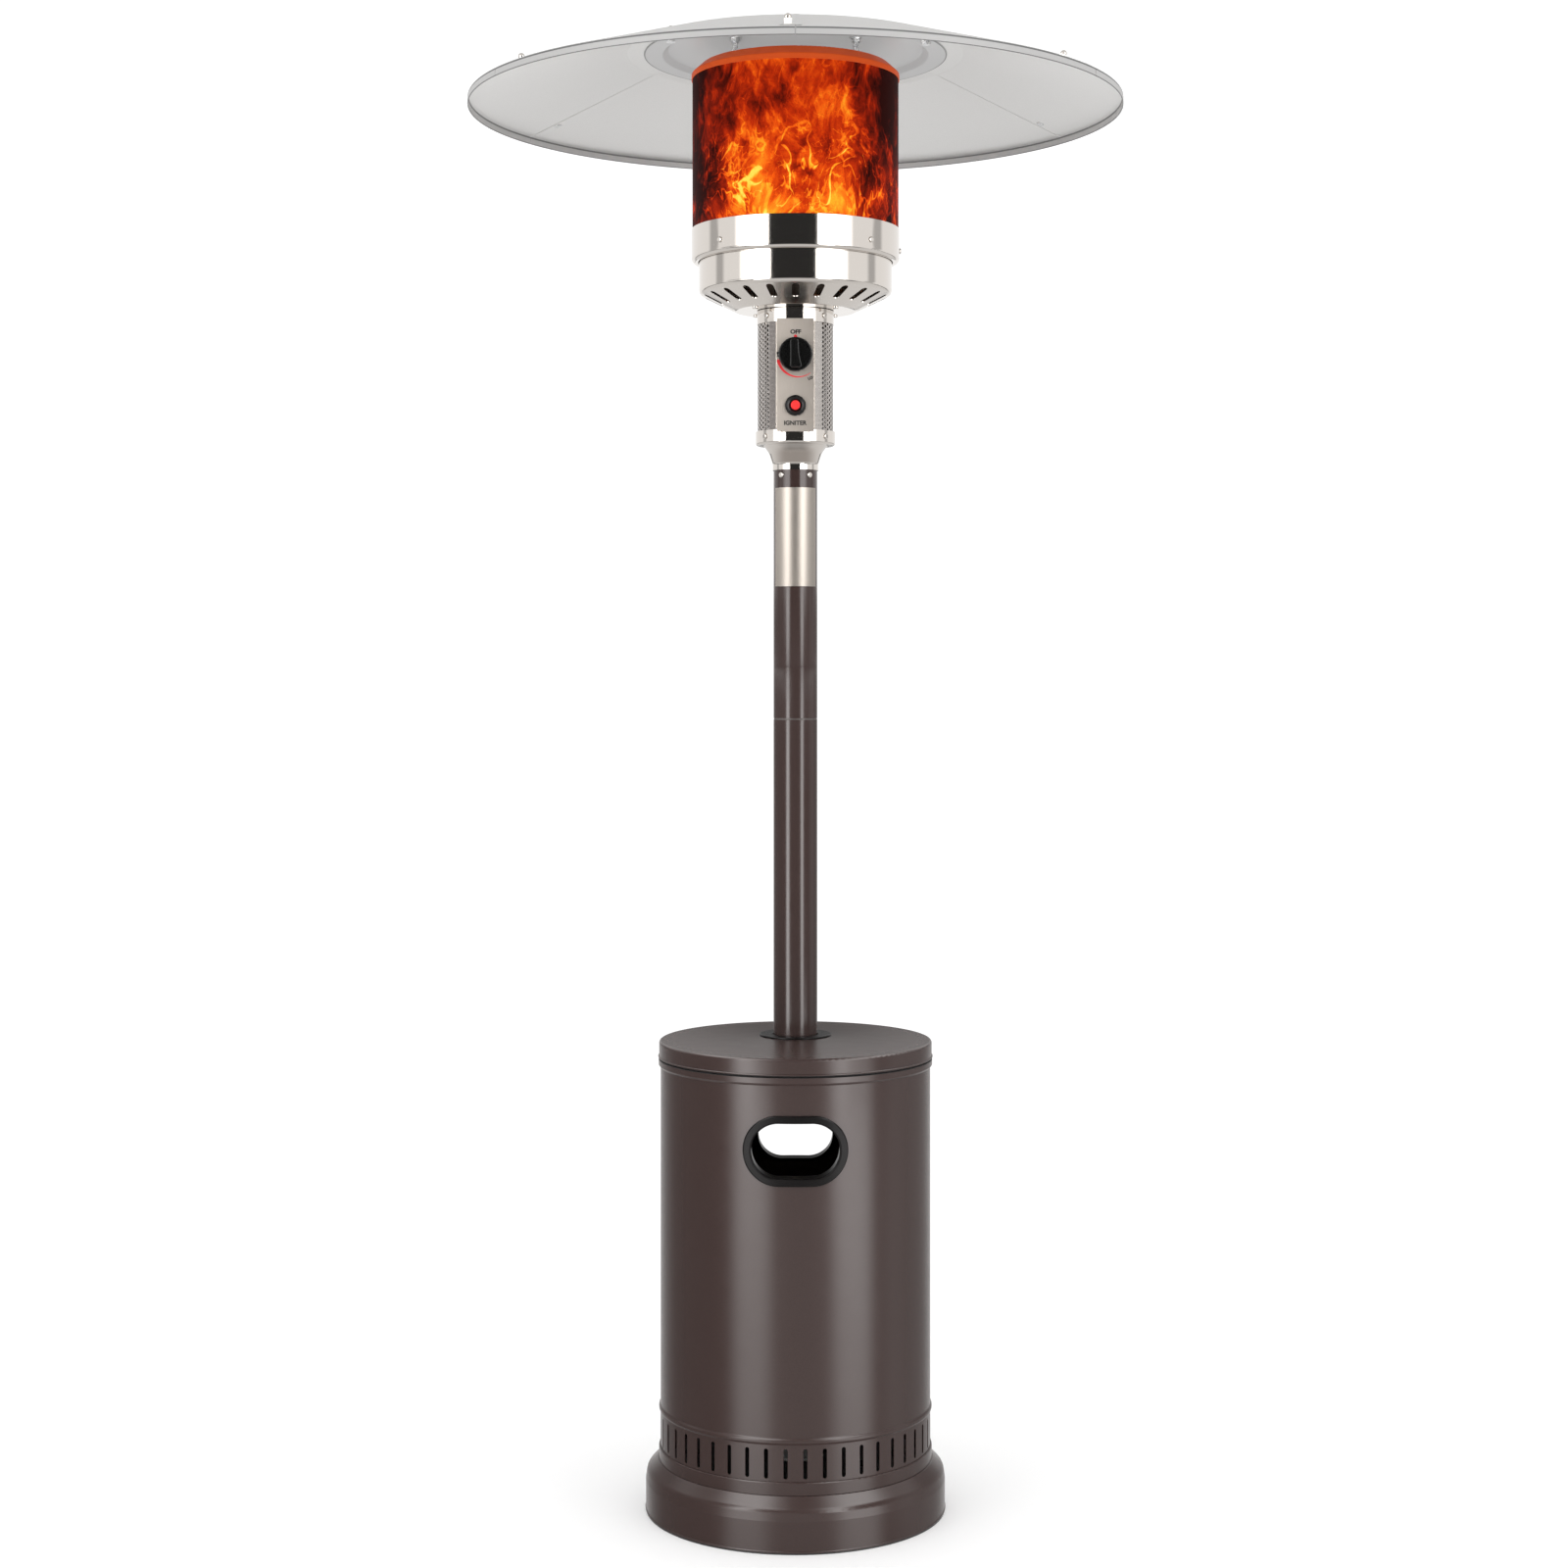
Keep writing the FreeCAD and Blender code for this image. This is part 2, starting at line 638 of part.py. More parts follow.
b = body("ballast_tank")
floor = D.plate_rise
top = D.tank_top
wall = D.tank_wall
turned(b, [(0, floor), (D.tank_rad, floor, 6), (D.tank_rad, 24.8), (D.tank_rad + 1, 25.6), (D.tank_rad, 26.4),
           (D.tank_rad, top, 4), (D.well_rad + 2, top), (D.well_rad, top - 2), (D.well_rad, top - D.well_deep),
           (D.filler_rad, top - D.well_deep), (D.filler_rad, 60), (D.filler_rad + wall, 60),
           (D.filler_rad + wall, top - D.well_deep - wall), (D.well_rad + wall, top - D.well_deep - wall),
           (D.well_rad + wall, top - wall), (D.tank_rad - wall, top - wall, 2),
           (D.tank_rad - wall, floor + wall, 3.5), (0, floor + wall)])
spots = []
for k in range(4):
    a = math.radians(90 * k)
    spots.append((154.6 * math.cos(a), 154.6 * math.sin(a), D.dimple_small))
for a in (29.5, -29.5, 150.5, -150.5):
    a = math.radians(a)
    spots.append((114 * math.cos(a), 114 * math.sin(a), D.dimple_large))
s = new_sketch(b, "XY_Plane", lift=top)
for i, (x, y, r) in enumerate(spots):
    circle(s, x, y, r + wall, "%d" % i)
pad(b, s, D.dimple_deep + wall, back=True)
s = new_sketch(b, "XY_Plane", lift=top)
for i, (x, y, r) in enumerate(spots):
    circle(s, x, y, r, "%d" % i)
cut(b, s, D.dimple_deep)

b = body("tank_plug")
seat = top - D.well_deep + 0.2
turned(b, [(0, seat), (D.plug_stem - 2.5, seat), (D.plug_stem - 2.5, 60), (D.plug_stem, 60, 1), (D.plug_stem, seat),
           (D.plug_rad, seat), (D.plug_rad, seat + 3.8, 1.5), (0, seat + 3.8)])
s = new_sketch(b, "XY_Plane", lift=seat + 1)
circle(s, D.plug_rad + 5.5, 0, 8, "a")
circle(s, D.plug_rad + 7, 0, 4.5, "b")
pad(b, s, 1.8)

# --------------------------------------------------------------------- frame

half = D.leg_wide / 2
for name, azimuth in (("support_leg_right", 0), ("support_leg_rear_left", 120), ("support_leg_front_left", 240)):
    b = body(name)
    s = new_sketch(b, "XY_Plane", lift=D.plate_rise)
    outline(s, [(D.leg_in, 0 - half, 2), (D.leg_out, 0 - half), (D.leg_out, D.leg_gauge - half),
                (D.leg_in + D.leg_gauge, D.leg_gauge - half), (D.leg_in + D.leg_gauge, half - D.leg_gauge),
                (D.leg_out, half - D.leg_gauge), (D.leg_out, half), (D.leg_in, half, 2)])
    pad(b, s, D.leg_top - D.plate_rise)
    s = new_sketch(b, "XY_Plane", lift=D.plate_rise)
    outline(s, [(D.leg_in + 0.5, -10.5), (206, -10.5, 4), (206, 10.5, 4), (D.leg_in + 0.5, 10.5)])
    pad(b, s, D.leg_gauge)
    s = new_sketch(b, "XY_Plane")
    circle(s, D.foot_bolt_at, 0, 3.3)
    cut(b, s)
    s = new_sketch(b, "YZ_Plane")
    circle(s, 0, D.leg_bolt_z, 4.3)
    cut(b, s)
    b.Placement = FreeCAD.Placement(V(0, 0, 0), FreeCAD.Rotation(V(0, 0, 1), azimuth))

b = body("leg_top_plate")
under = D.leg_top - D.bridge_gauge
s = new_sketch(b, "XY_Plane", lift=under)
circle(s, 0, 0, D.hub_rad)
pad(b, s, D.bridge_gauge)
s = new_sketch(b, "XY_Plane", lift=under)
arm = D.arm_wide / 2
outline(s, [(30, 0 - arm), (D.leg_in, 0 - arm, 4), (D.leg_in, arm, 4), (30, arm)])
arm_pad = pad(b, s, D.bridge_gauge)
s = new_sketch(b, "XY_Plane", lift=D.leg_bolt_z - 14)
outline(s, [(D.leg_in - D.bridge_gauge, 0 - half), (D.leg_in, 0 - half), (D.leg_in, half), (D.leg_in - D.bridge_gauge, half)])
tab_pad = pad(b, s, D.leg_top - D.leg_bolt_z + 14)
around(b, [arm_pad, tab_pad], 3)
s = new_sketch(b, "XY_Plane", lift=D.leg_top)
circle(s, 0, 0, D.spigot_rad, "a")
circle(s, 0, 0, D.spigot_bore, "b")
pad(b, s, D.spigot_long)
s = new_sketch(b, "XY_Plane")
circle(s, 0, 0, 10.2)
cut(b, s)
s = new_sketch(b, "YZ_Plane", lift=175)
circle(s, 0, D.leg_bolt_z, 4.3)
around(b, [cut(b, s, 20, back=True)], 3)
cross_holes(b, 660, 2.55, (45, -45))

group("frame_bolts",
      [(bolt_m6, upright(199, a, 10)) for a in (0, 120, 240)]
      + [(bolt_m8, inward(190, a, 606)) for a in (0, 120, 240)]
      + [(pan_screw, inward(33, a, 660)) for a in (45, 135, 225, 315)])
group("frame_nuts",
      [(nut_m6, upright(199, a, 14)) for a in (0, 120, 240)]
      + [(nut_m8, inward(184, a, 606)) for a in (0, 120, 240)])

# --------------------------------------------------------- pole and gas line

b = body("lower_pole")
s = new_sketch(b, "XY_Plane", lift=D.leg_top)
circle(s, 0, 0, D.pole_rad, "a")
circle(s, 0, 0, D.pole_rad - D.pole_wall, "b")
pad(b, s, D.pole_joint - D.leg_top)
cross_holes(b, 660, 2.7, (45, -45))

b = body("upper_pole")
s = new_sketch(b, "XY_Plane", lift=D.pole_joint + D.bead_high)
circle(s, 0, 0, D.pole_rad, "a")
circle(s, 0, 0, D.pole_rad - D.pole_wall, "b")
pad(b, s, D.pole_top - D.pole_joint - D.bead_high)
cross_holes(b, D.neck_screw_z, 2.7, (39, -39))

b = body("pole_sleeve")
plug = D.pole_rad - D.pole_wall - 0.05
turned(b, [(plug - 2, D.pole_joint - 48), (plug, D.pole_joint - 48, 0.8), (plug, D.pole_joint), (32.6, D.pole_joint),
           (32.6, D.pole_joint + D.bead_high), (plug, D.pole_joint + D.bead_high),
           (plug, D.pole_joint + 51, 0.8), (plug - 2, D.pole_joint + 51)])

b = body("label_plate")
s = new_sketch(b, "XZ_Plane", turn=-90)
outline(s, [(D.pole_rad + 0.05, D.label_low), (D.pole_rad + 0.45, D.label_low),
            (D.pole_rad + 0.45, D.label_high), (D.pole_rad + 0.05, D.label_high)])
revolve(b, s, 128, both=True)

b = body("gas_supply_tube")
s = new_sketch(b, "XY_Plane", lift=612)
circle(s, 0, 0, D.tube_rad, "a")
circle(s, 0, 0, D.tube_rad - 1.2, "b")
pad(b, s, 1072)

b = body("gas_inlet_fitting")
low = D.leg_top - 34
turned(b, [(3, low), (D.nipple_rad, low), (D.nipple_rad, low + D.nipple_long), (9.8, low + D.nipple_long),
           (9.8, D.leg_top + 4), (D.tube_rad + 0.1, D.leg_top + 4), (D.tube_rad + 0.1, 612), (3, 612)])
s = new_sketch(b, "XY_Plane", lift=low + D.nipple_long)
outline(s, [(12.7 * math.cos(math.radians(60 * k + 30)), 12.7 * math.sin(math.radians(60 * k + 30))) for k in range(6)])
circle(s, 0, 0, 9.4)
pad(b, s, 13.9)

# -------------------------------------------------------------- control neck

b = body("neck_funnel")
seat = D.collar_low + 1.4
turned(b, [(34.4, 1560), (34.4, 1569, 10), (40.5, 1587, 20), (46, 1594.6, 8), (49.6, seat), (55.8, seat, 1.5),
           (55.8, 1614)], 1.0)
turned(b, [(29.9, 1537), (31.3, 1537), (31.3, D.pole_top + 0.8), (42.9, D.pole_top + 0.8), (42.9, D.pole_top + 2.2),
           (29.9, D.pole_top + 2.2)])
cross_holes(b, D.neck_screw_z, 2.55, (39, -39))
cross_holes(b, 1608.8, 2.6, (49, -49))

b = body("lower_collar")
turned(b, [(50.2, D.collar_low), (D.collar_rad, D.collar_low, 4), (D.collar_rad, D.collar_high)], 1.2)
cross_holes(b, 1608.8, 2.6, (49, -49))

b = body("control_mesh")
s = new_sketch(b, "XZ_Plane", turn=90)
outline(s, [(D.mesh_rad - D.mesh_gauge, D.mesh_low), (D.mesh_rad, D.mesh_low), (D.mesh_rad, D.mesh_high),
            (D.mesh_rad - D.mesh_gauge, D.mesh_high)])
revolve(b, s, D.mesh_wrap, both=True)
cross_holes(b, 1608.8, 2.6, (49, -49))
cross_holes(b, 1789, 2.6, (48, -48))

b = body("neck_collar")
turned(b, [(D.upper_collar_rad - 1, 1779), (D.upper_collar_rad, 1779), (D.upper_collar_rad, 1799),
           (D.upper_collar_rad - 1, 1799)])
cross_holes(b, 1789, 2.6, (48, -48))

b = body("control_panel")
wide = D.panel_wide / 2
face = D.panel_front
s = new_sketch(b, "XY_Plane", lift=D.panel_low + 5)
outline(s, [(0 - wide, 0 - D.panel_back), (0 - wide, 0 - face, 2), (wide, 0 - face, 2), (wide, 0 - D.panel_back),
            (wide - 1.2, 0 - D.panel_back), (wide - 1.2, 1.2 - face, 0.8), (1.2 - wide, 1.2 - face, 0.8),
            (1.2 - wide, 0 - D.panel_back)])
pad(b, s, D.panel_high - D.panel_low - 9)
s = new_sketch(b, "XZ_Plane", lift=face - 1.2)
outline(s, [(2 - wide, D.panel_low, 1), (wide - 2, D.panel_low, 1), (wide - 2, D.panel_high, 1), (2 - wide, D.panel_high, 1)])
pad(b, s, 1.2)
s = new_sketch(b, "XZ_Plane", lift=face + 1)
circle(s, 0, D.knob_z, 7, "a")
circle(s, 0, D.igniter_z, 9.2, "b")
cut(b, s, 4)

group("pole_screws", [(pan_screw, inward(33, a, 1552)) for a in (-51, -129, 51, 129)])
group("collar_screws",
      [(pan_screw, inward(60, a, 1608.8)) for a in (-41, -139, 41, 139)]
      + [(pan_screw, inward(58, a, 1789)) for a in (-42, -138, 42, 138)])

b = body("gas_valve")
s = new_sketch(b, "XY_Plane", lift=1690)
outline(s, [(-15, -30, 3), (15, -30, 3), (15, 13, 3), (-15, 13, 3)])
pad(b, s, 75)
s = new_sketch(b, "XZ_Plane", lift=29)
circle(s, 0, D.knob_z, 12)
pad(b, s, 19)
s = new_sketch(b, "XY_Plane", lift=1675)
circle(s, 0, 0, 8)
pad(b, s, 16)
s = new_sketch(b, "XY_Plane", lift=1764)
circle(s, 0, 0, 8)
pad(b, s, 16)
s = new_sketch(b, "XZ_Plane", lift=-12)
circle(s, -11, 1745, 3.6, "a")
circle(s, 11, 1745, 3.6, "b")
pad(b, s, 8, back=True)
s = new_sketch(b, "XZ_Plane", lift=48)
circle(s, 0, D.knob_z, D.spindle_rad + 0.05)
cut(b, s, 28)
s = new_sketch(b, "XY_Plane", lift=1675)
circle(s, 0, 0, D.tube_rad + 0.1)
cut(b, s, 10, back=True)

b = body("orifice")
turned(b, [(0.8, 1780), (5, 1780), (5, 1794), (2.5, 1800), (0.8, 1800)])

b = body("tilt_switch")
s = new_sketch(b, "XY_Plane", lift=1705)
outline(s, [(15.2, -8, 3), (39.2, -8, 3), (39.2, 16, 3), (15.2, 16, 3)])
pad(b, s, 28)

b = body("valve_spindle")
turned(b, [(0, 26), (D.spindle_rad, 26), (D.spindle_rad, 81), (0, 81)])
b.Placement = facing_front(D.knob_z.v)
raise_by(b, D.knob_z)

b = body("spindle_washer")
turned(b, [(D.spindle_rad + 0.2, 52.5), (10, 52.5), (10, 54), (D.spindle_rad + 0.2, 54)])
b.Placement = facing_front(D.knob_z.v)
raise_by(b, D.knob_z)

b = body("knob")
turned(b, [(0, 71.5), (D.knob_rad - 2.4, 71.5), (D.knob_rad - 2.4, 66.7), (D.knob_rad, 66.7), (D.knob_rad, 75.4, 1.8),
           (D.knob_rad - 2.6, 75.4, 0.6), (D.knob_rad - 3.6, 74), (0, 74)])
s = new_sketch(b, "XY_Plane", lift=66.7)
circle(s, 0, 0, 8)
pad(b, s, 6)
s = new_sketch(b, "XY_Plane", lift=73.5)
outline(s, [(-7.8, -21.4, 3.5), (10.2, -21.4, 3.5), (5.6, -2, 80), (4.4, 20.6, 3.5), (-7.8, 20.6, 3.5)])
bar = pad(b, s, 16.5)
round_edges(b, bar, 1.6, lambda e: min(v.Z for v in e.Vertexes) > 89.99)
s = new_sketch(b, "XY_Plane", lift=66.7)
circle(s, 0, 0, D.spindle_rad + 0.05)
cut(b, s, 15, back=True)
b.Placement = facing_front(D.knob_z.v)
raise_by(b, D.knob_z)

b = body("igniter_bezel")
turned(b, [(9.3, face), (D.bezel_rad, face), (D.bezel_rad, face + 3.2, 1.2), (12.4, face + 6, 1), (9.3, face + 5)])
b.Placement = facing_front(D.igniter_z.v)
raise_by(b, D.igniter_z)

b = body("piezo_igniter")
bore = D.button_rad + 0.3
turned(b, [(0, 15), (10, 15), (10, 58), (13, 58), (13, 61), (9, 61), (9, 66.5), (bore, 66.5), (bore, 38), (0, 38)])
b.Placement = facing_front(D.igniter_z.v)
raise_by(b, D.igniter_z)

b = body("igniter_button")
turned(b, [(0, 45), (D.button_rad, 45), (D.button_rad, 73, 1.5), (0, 73)])
b.Placement = facing_front(D.igniter_z.v)
raise_by(b, D.igniter_z)

# --------------------------------------------------------------- burner head

b = body("mixing_tube")
floor = D.bowl_low + 1.2
turned(b, [(28, floor + 0.2), (D.venturi_rad, 1809, 6), (D.venturi_rad, 1889)], 1.2)
for a in (40, 140, 220, 320):
    s = new_sketch(b, "XY_Plane", lift=floor, turn=a)
    outline(s, [(24, -6), (86, -6, 4), (86, 6, 4), (24, 6)])
    circle(s, 78, 0, 2.6)
    pad(b, s, 1.6)

b = body("head_bowl")
turned(b, [(D.throat_rad, 1784), (D.throat_rad, D.bowl_low, 1.5), (91, D.bowl_low, 6), (D.bowl_rad, 1826.6, 8),
           (D.bowl_rad, D.bowl_high, 1.6), (153, D.bowl_high)], 1.2)
s = new_sketch(b, "XY_Plane", lift=D.bowl_low - 2)
stadium(s, 0, -122.5, D.vent_half * 2, 31)
around(b, [cut(b, s, 34, back=True)], D.vent_count)
s = new_sketch(b, "XY_Plane", lift=D.bowl_low - 2)
for i, a in enumerate((40, 140, 220, 320)):
    circle(s, 78 * math.cos(math.radians(a)), 78 * math.sin(math.radians(a)), 2.6, "%d" % i)
cut(b, s, 6, back=True)
cross_holes(b, 1789, 2.6, (48, -48))

b = body("head_band")
turned(b, [(146.8, D.band_low), (D.band_rad, D.band_low, 6), (D.band_rad, D.band_high)], 1.2)
cross_holes(b, D.head_screw_z, 2.6, (45, -45))
s = new_sketch(b, "YZ_Plane", lift=140)
circle(s, 0, D.head_screw_z, 2.6)
cut(b, s, 30, back=True)

b = body("burner_plate")
seat = D.bowl_high + 1.2
turned(b, [(D.venturi_rad + 0.4, seat), (D.pan_rad, seat, 2), (D.pan_rad, 1905)], 1.2)
cross_holes(b, D.head_screw_z, 2.6, (45, -45))
s = new_sketch(b, "YZ_Plane", lift=140)
circle(s, 0, D.head_screw_z, 2.6)
cut(b, s, 30, back=True)
s = new_sketch(b, "XY_Plane", lift=seat - 2)
circle(s, 0, -132, 5)
around(b, [cut(b, s, 6, back=True)], 24)
s = new_sketch(b, "XY_Plane", lift=seat - 2)
circle(s, -11, 100, 3, "a")
circle(s, 6.6, 100, 2, "b")
circle(s, 11.6, 100, 2.4, "c")
cut(b, s, 6, back=True)

b = body("burner_head")
turned(b, [(D.cone_rad, seat + 1.2), (D.cone_rad, 1901, 8), (58, 1915, 15), (0, 1915)], 1.0)
s = new_sketch(b, "XY_Plane", lift=1894)
circle(s, 66, 0, 2)
around(b, [cut(b, s, 30, back=True)], 30)


def lead(b, x, z, r, start, back, top_z, gap):
    """A tube or rod from the neck up into the burner, bent in one upright plane."""
    s = new_sketch(b, "YZ_Plane", lift=x)
    route(s, [(start, z), (back, z, gap), (back, 1815, gap), (100, 1850, gap), (100, top_z)])
    ring = new_sketch(b, "XZ_Plane", lift=-start)
    circle(ring, x, z, r)
    f = b.newObject("PartDesign::AdditivePipe", b.Name + "_pipe")
    f.Profile = ring
    f.Spine = (s, [])
    return f


b = body("pilot_assembly")
lead(b, -11, 1745, 2.4, 20, 36, 1887, 9)
bed = seat + 1.2
for z in (bed, bed + 13):
    s = new_sketch(b, "XY_Plane", lift=z)
    outline(s, [(-20, 93, 2), (20, 93, 2), (20, 107), (-20, 107)])
    circle(s, 6.6, 100, 2, "b")
    circle(s, 11.6, 100, 2.4, "c")
    pad(b, s, 1.5)
    if z is bed:
        s = new_sketch(b, "XY_Plane", lift=bed)
        outline(s, [(-20, 105.6), (20, 105.6), (20, 107), (-20, 107)])
        pad(b, s, 14.5)
s = new_sketch(b, "XY_Plane", lift=bed + 1)
circle(s, -11, 100, 5)
pad(b, s, 18)

b = body("thermocouple")
lead(b, 11.6, 1745, 2.0, 20, 36, 1912, 9)

b = body("igniter_electrode")
lead(b, 6.6, D.igniter_z.v, 1.5, -15, 46, 1910, 9)
s = new_sketch(b, "XY_Plane", lift=bed + 1.7)
circle(s, 6.6, 100, 2.5)
pad(b, s, 11)

group("head_screws",
      [(pan_screw, inward(156.8, a, 1891)) for a in (-45, -135, 45, 135, 0)]
      + [(pan_screw, upright(78, a, 1799.8)) for a in (40, 140, 220, 320)])

b = body("emitter_screen")
s = new_sketch(b, "XY_Plane", lift=D.screen_low)
circle(s, 0, 0, D.screen_rad, "a")
circle(s, 0, 0, D.screen_rad - D.screen_gauge, "b")
pad(b, s, D.screen_high - D.screen_low)

b = body("emitter_cap")
turned(b, [(D.cap_rad, 2147), (D.cap_rad, 2155, 2), (141, D.cap_high, 5), (0, D.cap_high)], 1.2)
s = new_sketch(b, "XY_Plane", lift=D.cap_high + 1)
corner = D.stud_at * 0.70710678
for i, (sx, sy) in enumerate(((1, 1), (-1, 1), (-1, -1), (1, -1))):
    circle(s, corner * sx, corner * sy, D.stud_rad + 0.3, "%d" % i)
cut(b, s, 6)

# ----------------------------------------------------------------- reflector

DIAGONALS = (45, 135, 225, 315)
stud = cylinder("stud", D.stud_rad, 45)
group("reflector_studs", [(stud, upright(126, a, 2158)) for a in DIAGONALS])
group("stud_nuts",
      [(nut_m8, upright(126, a, 2161.2)) for a in DIAGONALS]
      + [(thin_nut_m8, upright(126, a, 2169)) for a in DIAGONALS]
      + [(flange_nut_m8, upright(126, a, 2192, flip=True)) for a in DIAGONALS])

b = body("reflector_plate")
turned(b, [(0, D.plate_low + 7.9), (192, D.plate_low + 7.9, 3), (200, D.plate_low, 3), (D.plate_edge, D.plate_low)], 1.2)
s = new_sketch(b, "XY_Plane", lift=D.plate_low - 1)
for i, (sx, sy) in enumerate(((1, 1), (-1, 1), (-1, -1), (1, -1))):
    circle(s, corner * sx, corner * sy, D.stud_rad + 0.3, "%d" % i)
cut(b, s, 20, back=True)
INNER = (-27.5, 92.5, 212.5)
s = new_sketch(b, "XY_Plane", lift=D.plate_low - 1)
for i, a in enumerate(INNER):
    circle(s, 216 * math.cos(math.radians(a)), 216 * math.sin(math.radians(a)), 4.3, "%d" % i)
cut(b, s, 20, back=True)

seat = D.plate_low + 1.2
SLOPE = math.degrees(math.atan2(seat.v - D.rim_high.v, D.rim_rad.v - 1.2 - D.fold_rad.v))
DROP = math.tan(math.radians(SLOPE))
edge = D.rim_rad - 1.2


def under_face(r):
    """Height of the underside of a panel at radius r on its sloping part."""
    return seat.v - (r - D.fold_rad.v) * DROP


for k in range(6):
    b = body("reflector_panel_%d" % (k + 1))
    s = new_sketch(b, "XZ_Plane", turn=0.1)
    sheet_outline(s, [(203, seat), (D.fold_rad, seat, 6), (edge, D.rim_high, 2), (edge, D.rim_low)], 1.2)
    revolve(b, s, 59.8)
    s = new_sketch(b, "XZ_Plane", turn=-2.5)
    up = 1.2 / math.cos(math.radians(SLOPE))
    sheet_outline(s, [(262, under_face(262) + up), (484, under_face(484) + up)], 1.2)
    revolve(b, s, 3.6)
    for r, a, hole in ((443, -1.3, 3.5), (443, 58.7, 3.5), (216, 2.5, 4.3)):
        s = new_sketch(b, "XY_Plane", lift=2080)
        circle(s, r * math.cos(math.radians(a)), r * math.sin(math.radians(a)), hole)
        cut(b, s, 130, back=True)
    b.Placement = FreeCAD.Placement(V(0, 0, 0), FreeCAD.Rotation(V(0, 0, 1), 60 * k - 90))

SEAMS = [60 * k - 90 - 1.3 for k in range(6)]
group("reflector_bolts",
      [(bolt_m6_seam, leaning(443, a, under_face(443), SLOPE, -0.04)) for a in SEAMS]
      + [(bolt_m8, upright(216, a, D.plate_low.v)) for a in INNER])
group("reflector_cap_nuts",
      [(cap_nut_m6, leaning(443, a, under_face(443), SLOPE, 2.5)) for a in SEAMS]
      + [(washer_m8, upright(216, a, 2186.6)) for a in INNER]
      + [(cap_nut_m8, upright(216, a, 2188.3)) for a in INNER]
      + [(cap_nut_m8, upright(126, a, 2193.3)) for a in DIAGONALS])

# ----------------------------------------------------------- lift-up housing

b = body("housing_shell")
rad = D.shell_rad
hem = D.shell_neck
turned(b, [(rad, D.shell_low), (rad, 149.8, 2), (rad + 2.2, 152.6, 2), (rad + 2.2, 156.6, 2), (rad, 159.4, 2), (rad, hem),
           (rad + 3, hem + 3.5), (rad + 3, hem + 11.5), (rad + 0.6, hem + 13), (rad + 0.6, hem + 26)], D.skin)
s = new_sketch(b, "XZ_Plane", lift=rad + 7, turn=180.0 / 45)
stadium(s, 0, (D.slot_low + D.slot_high) / 2, D.slot_half * 2, D.slot_high - D.slot_low)
around(b, [cut(b, s, 14)], D.slot_count)
s = new_sketch(b, "XZ_Plane", lift=rad + 7)
stadium(s, 0, D.grip_z, D.grip_wide, D.grip_tall)
cut(b, s, 60)
s = new_sketch(b, "XZ_Plane", lift=0 - rad - 7)
stadium(s, 0, D.grip_z - D.rear_drop, D.grip_wide, D.grip_tall)
cut(b, s, 60, back=True)

b = body("housing_lid")
turned(b, [(D.lid_rad, D.lid_low), (D.lid_rad, D.lid_edge, 4), (56, D.lid_peak), (50, D.lid_peak)], D.skin)
s = new_sketch(b, "XZ_Plane")
circle(s, D.lid_rad, D.lid_low + 0.5, 1.5)
revolve(b, s)

b = body("lid_guide_ring")
peak = D.lid_peak
turned(b, [(D.guide_bore, peak - 3.7), (D.guide_rad, peak - 3.7), (D.guide_rad, peak - 1.4), (49.8, peak - 1.4),
           (49.8, peak + 0.2), (D.guide_rad, peak + 0.2), (D.guide_rad, peak + 2.8, 1.5),
           (D.guide_bore, peak + 2.8, 1.5)])

b = body("housing_foot_ring")
turned(b, [(rad + 0.2, D.base_high + 0.3), (rad + 2.4, D.base_high + 0.3), (rad + 2.4, D.ring_top, 1.8),
           (rad + 0.2, D.ring_top)])


def block(name, wide, tall, near, far):
    """A stadium-ended block across the front wall, between two distances from the axis."""
    o = body(name, export=False)
    s = new_sketch(o, "XZ_Plane", lift=near)
    stadium(s, 0, D.grip_z, wide, tall)
    pad(o, s, far - near)
    return o


def tube(name, outer, inner, z, length):
    return minus(name, cylinder(name + "_outer", outer, length, z), cylinder(name + "_inner", inner, length + 4, z - 2))


def grip_trim(name, mouth):
    """Flange and sleeve round the front hole, open over the mouth width, outer edges rounded."""
    flange = common(name + "_flange", block(name + "_flange_block", D.trim_wide, D.trim_tall, 160, 220),
                    tube(name + "_flange_skin", rad + 4, rad + 0.2, 500, 140))
    sleeve = common(name + "_sleeve", block(name + "_sleeve_block", D.grip_wide - 2, D.grip_tall - 2, 150, 222),
                    tube(name + "_sleeve_skin", rad + 1, 178, 498, 144))
    trim = minus(name + "_open", fuse(name + "_solid", [flange, sleeve]),
                 block(name + "_mouth", mouth, D.mouth_tall, 140, 230))
    doc.recompute()
    rounded = doc.addObject("Part::Fillet", name)
    rounded.Label = name
    rounded.Base = trim
    reach = rad.v + 4
    rounded.Edges = [(i + 1, 2.4, 2.4) for i, e in enumerate(trim.Shape.Edges)
                     if all(abs(math.hypot(p.x, p.y) - reach) < 0.01 for p in e.discretize(7))]
    return rounded


PARTS.append(grip_trim("grip_trim_front", D.mouth_wide))
group("grip_trim_rear", [(grip_trim("rear_trim_pattern", D.rear_mouth),
                          FreeCAD.Placement(V(0, 0, -D.rear_drop.v), FreeCAD.Rotation(V(0, 0, 1), 180)))])

# -------------------------------------------------------------------- export

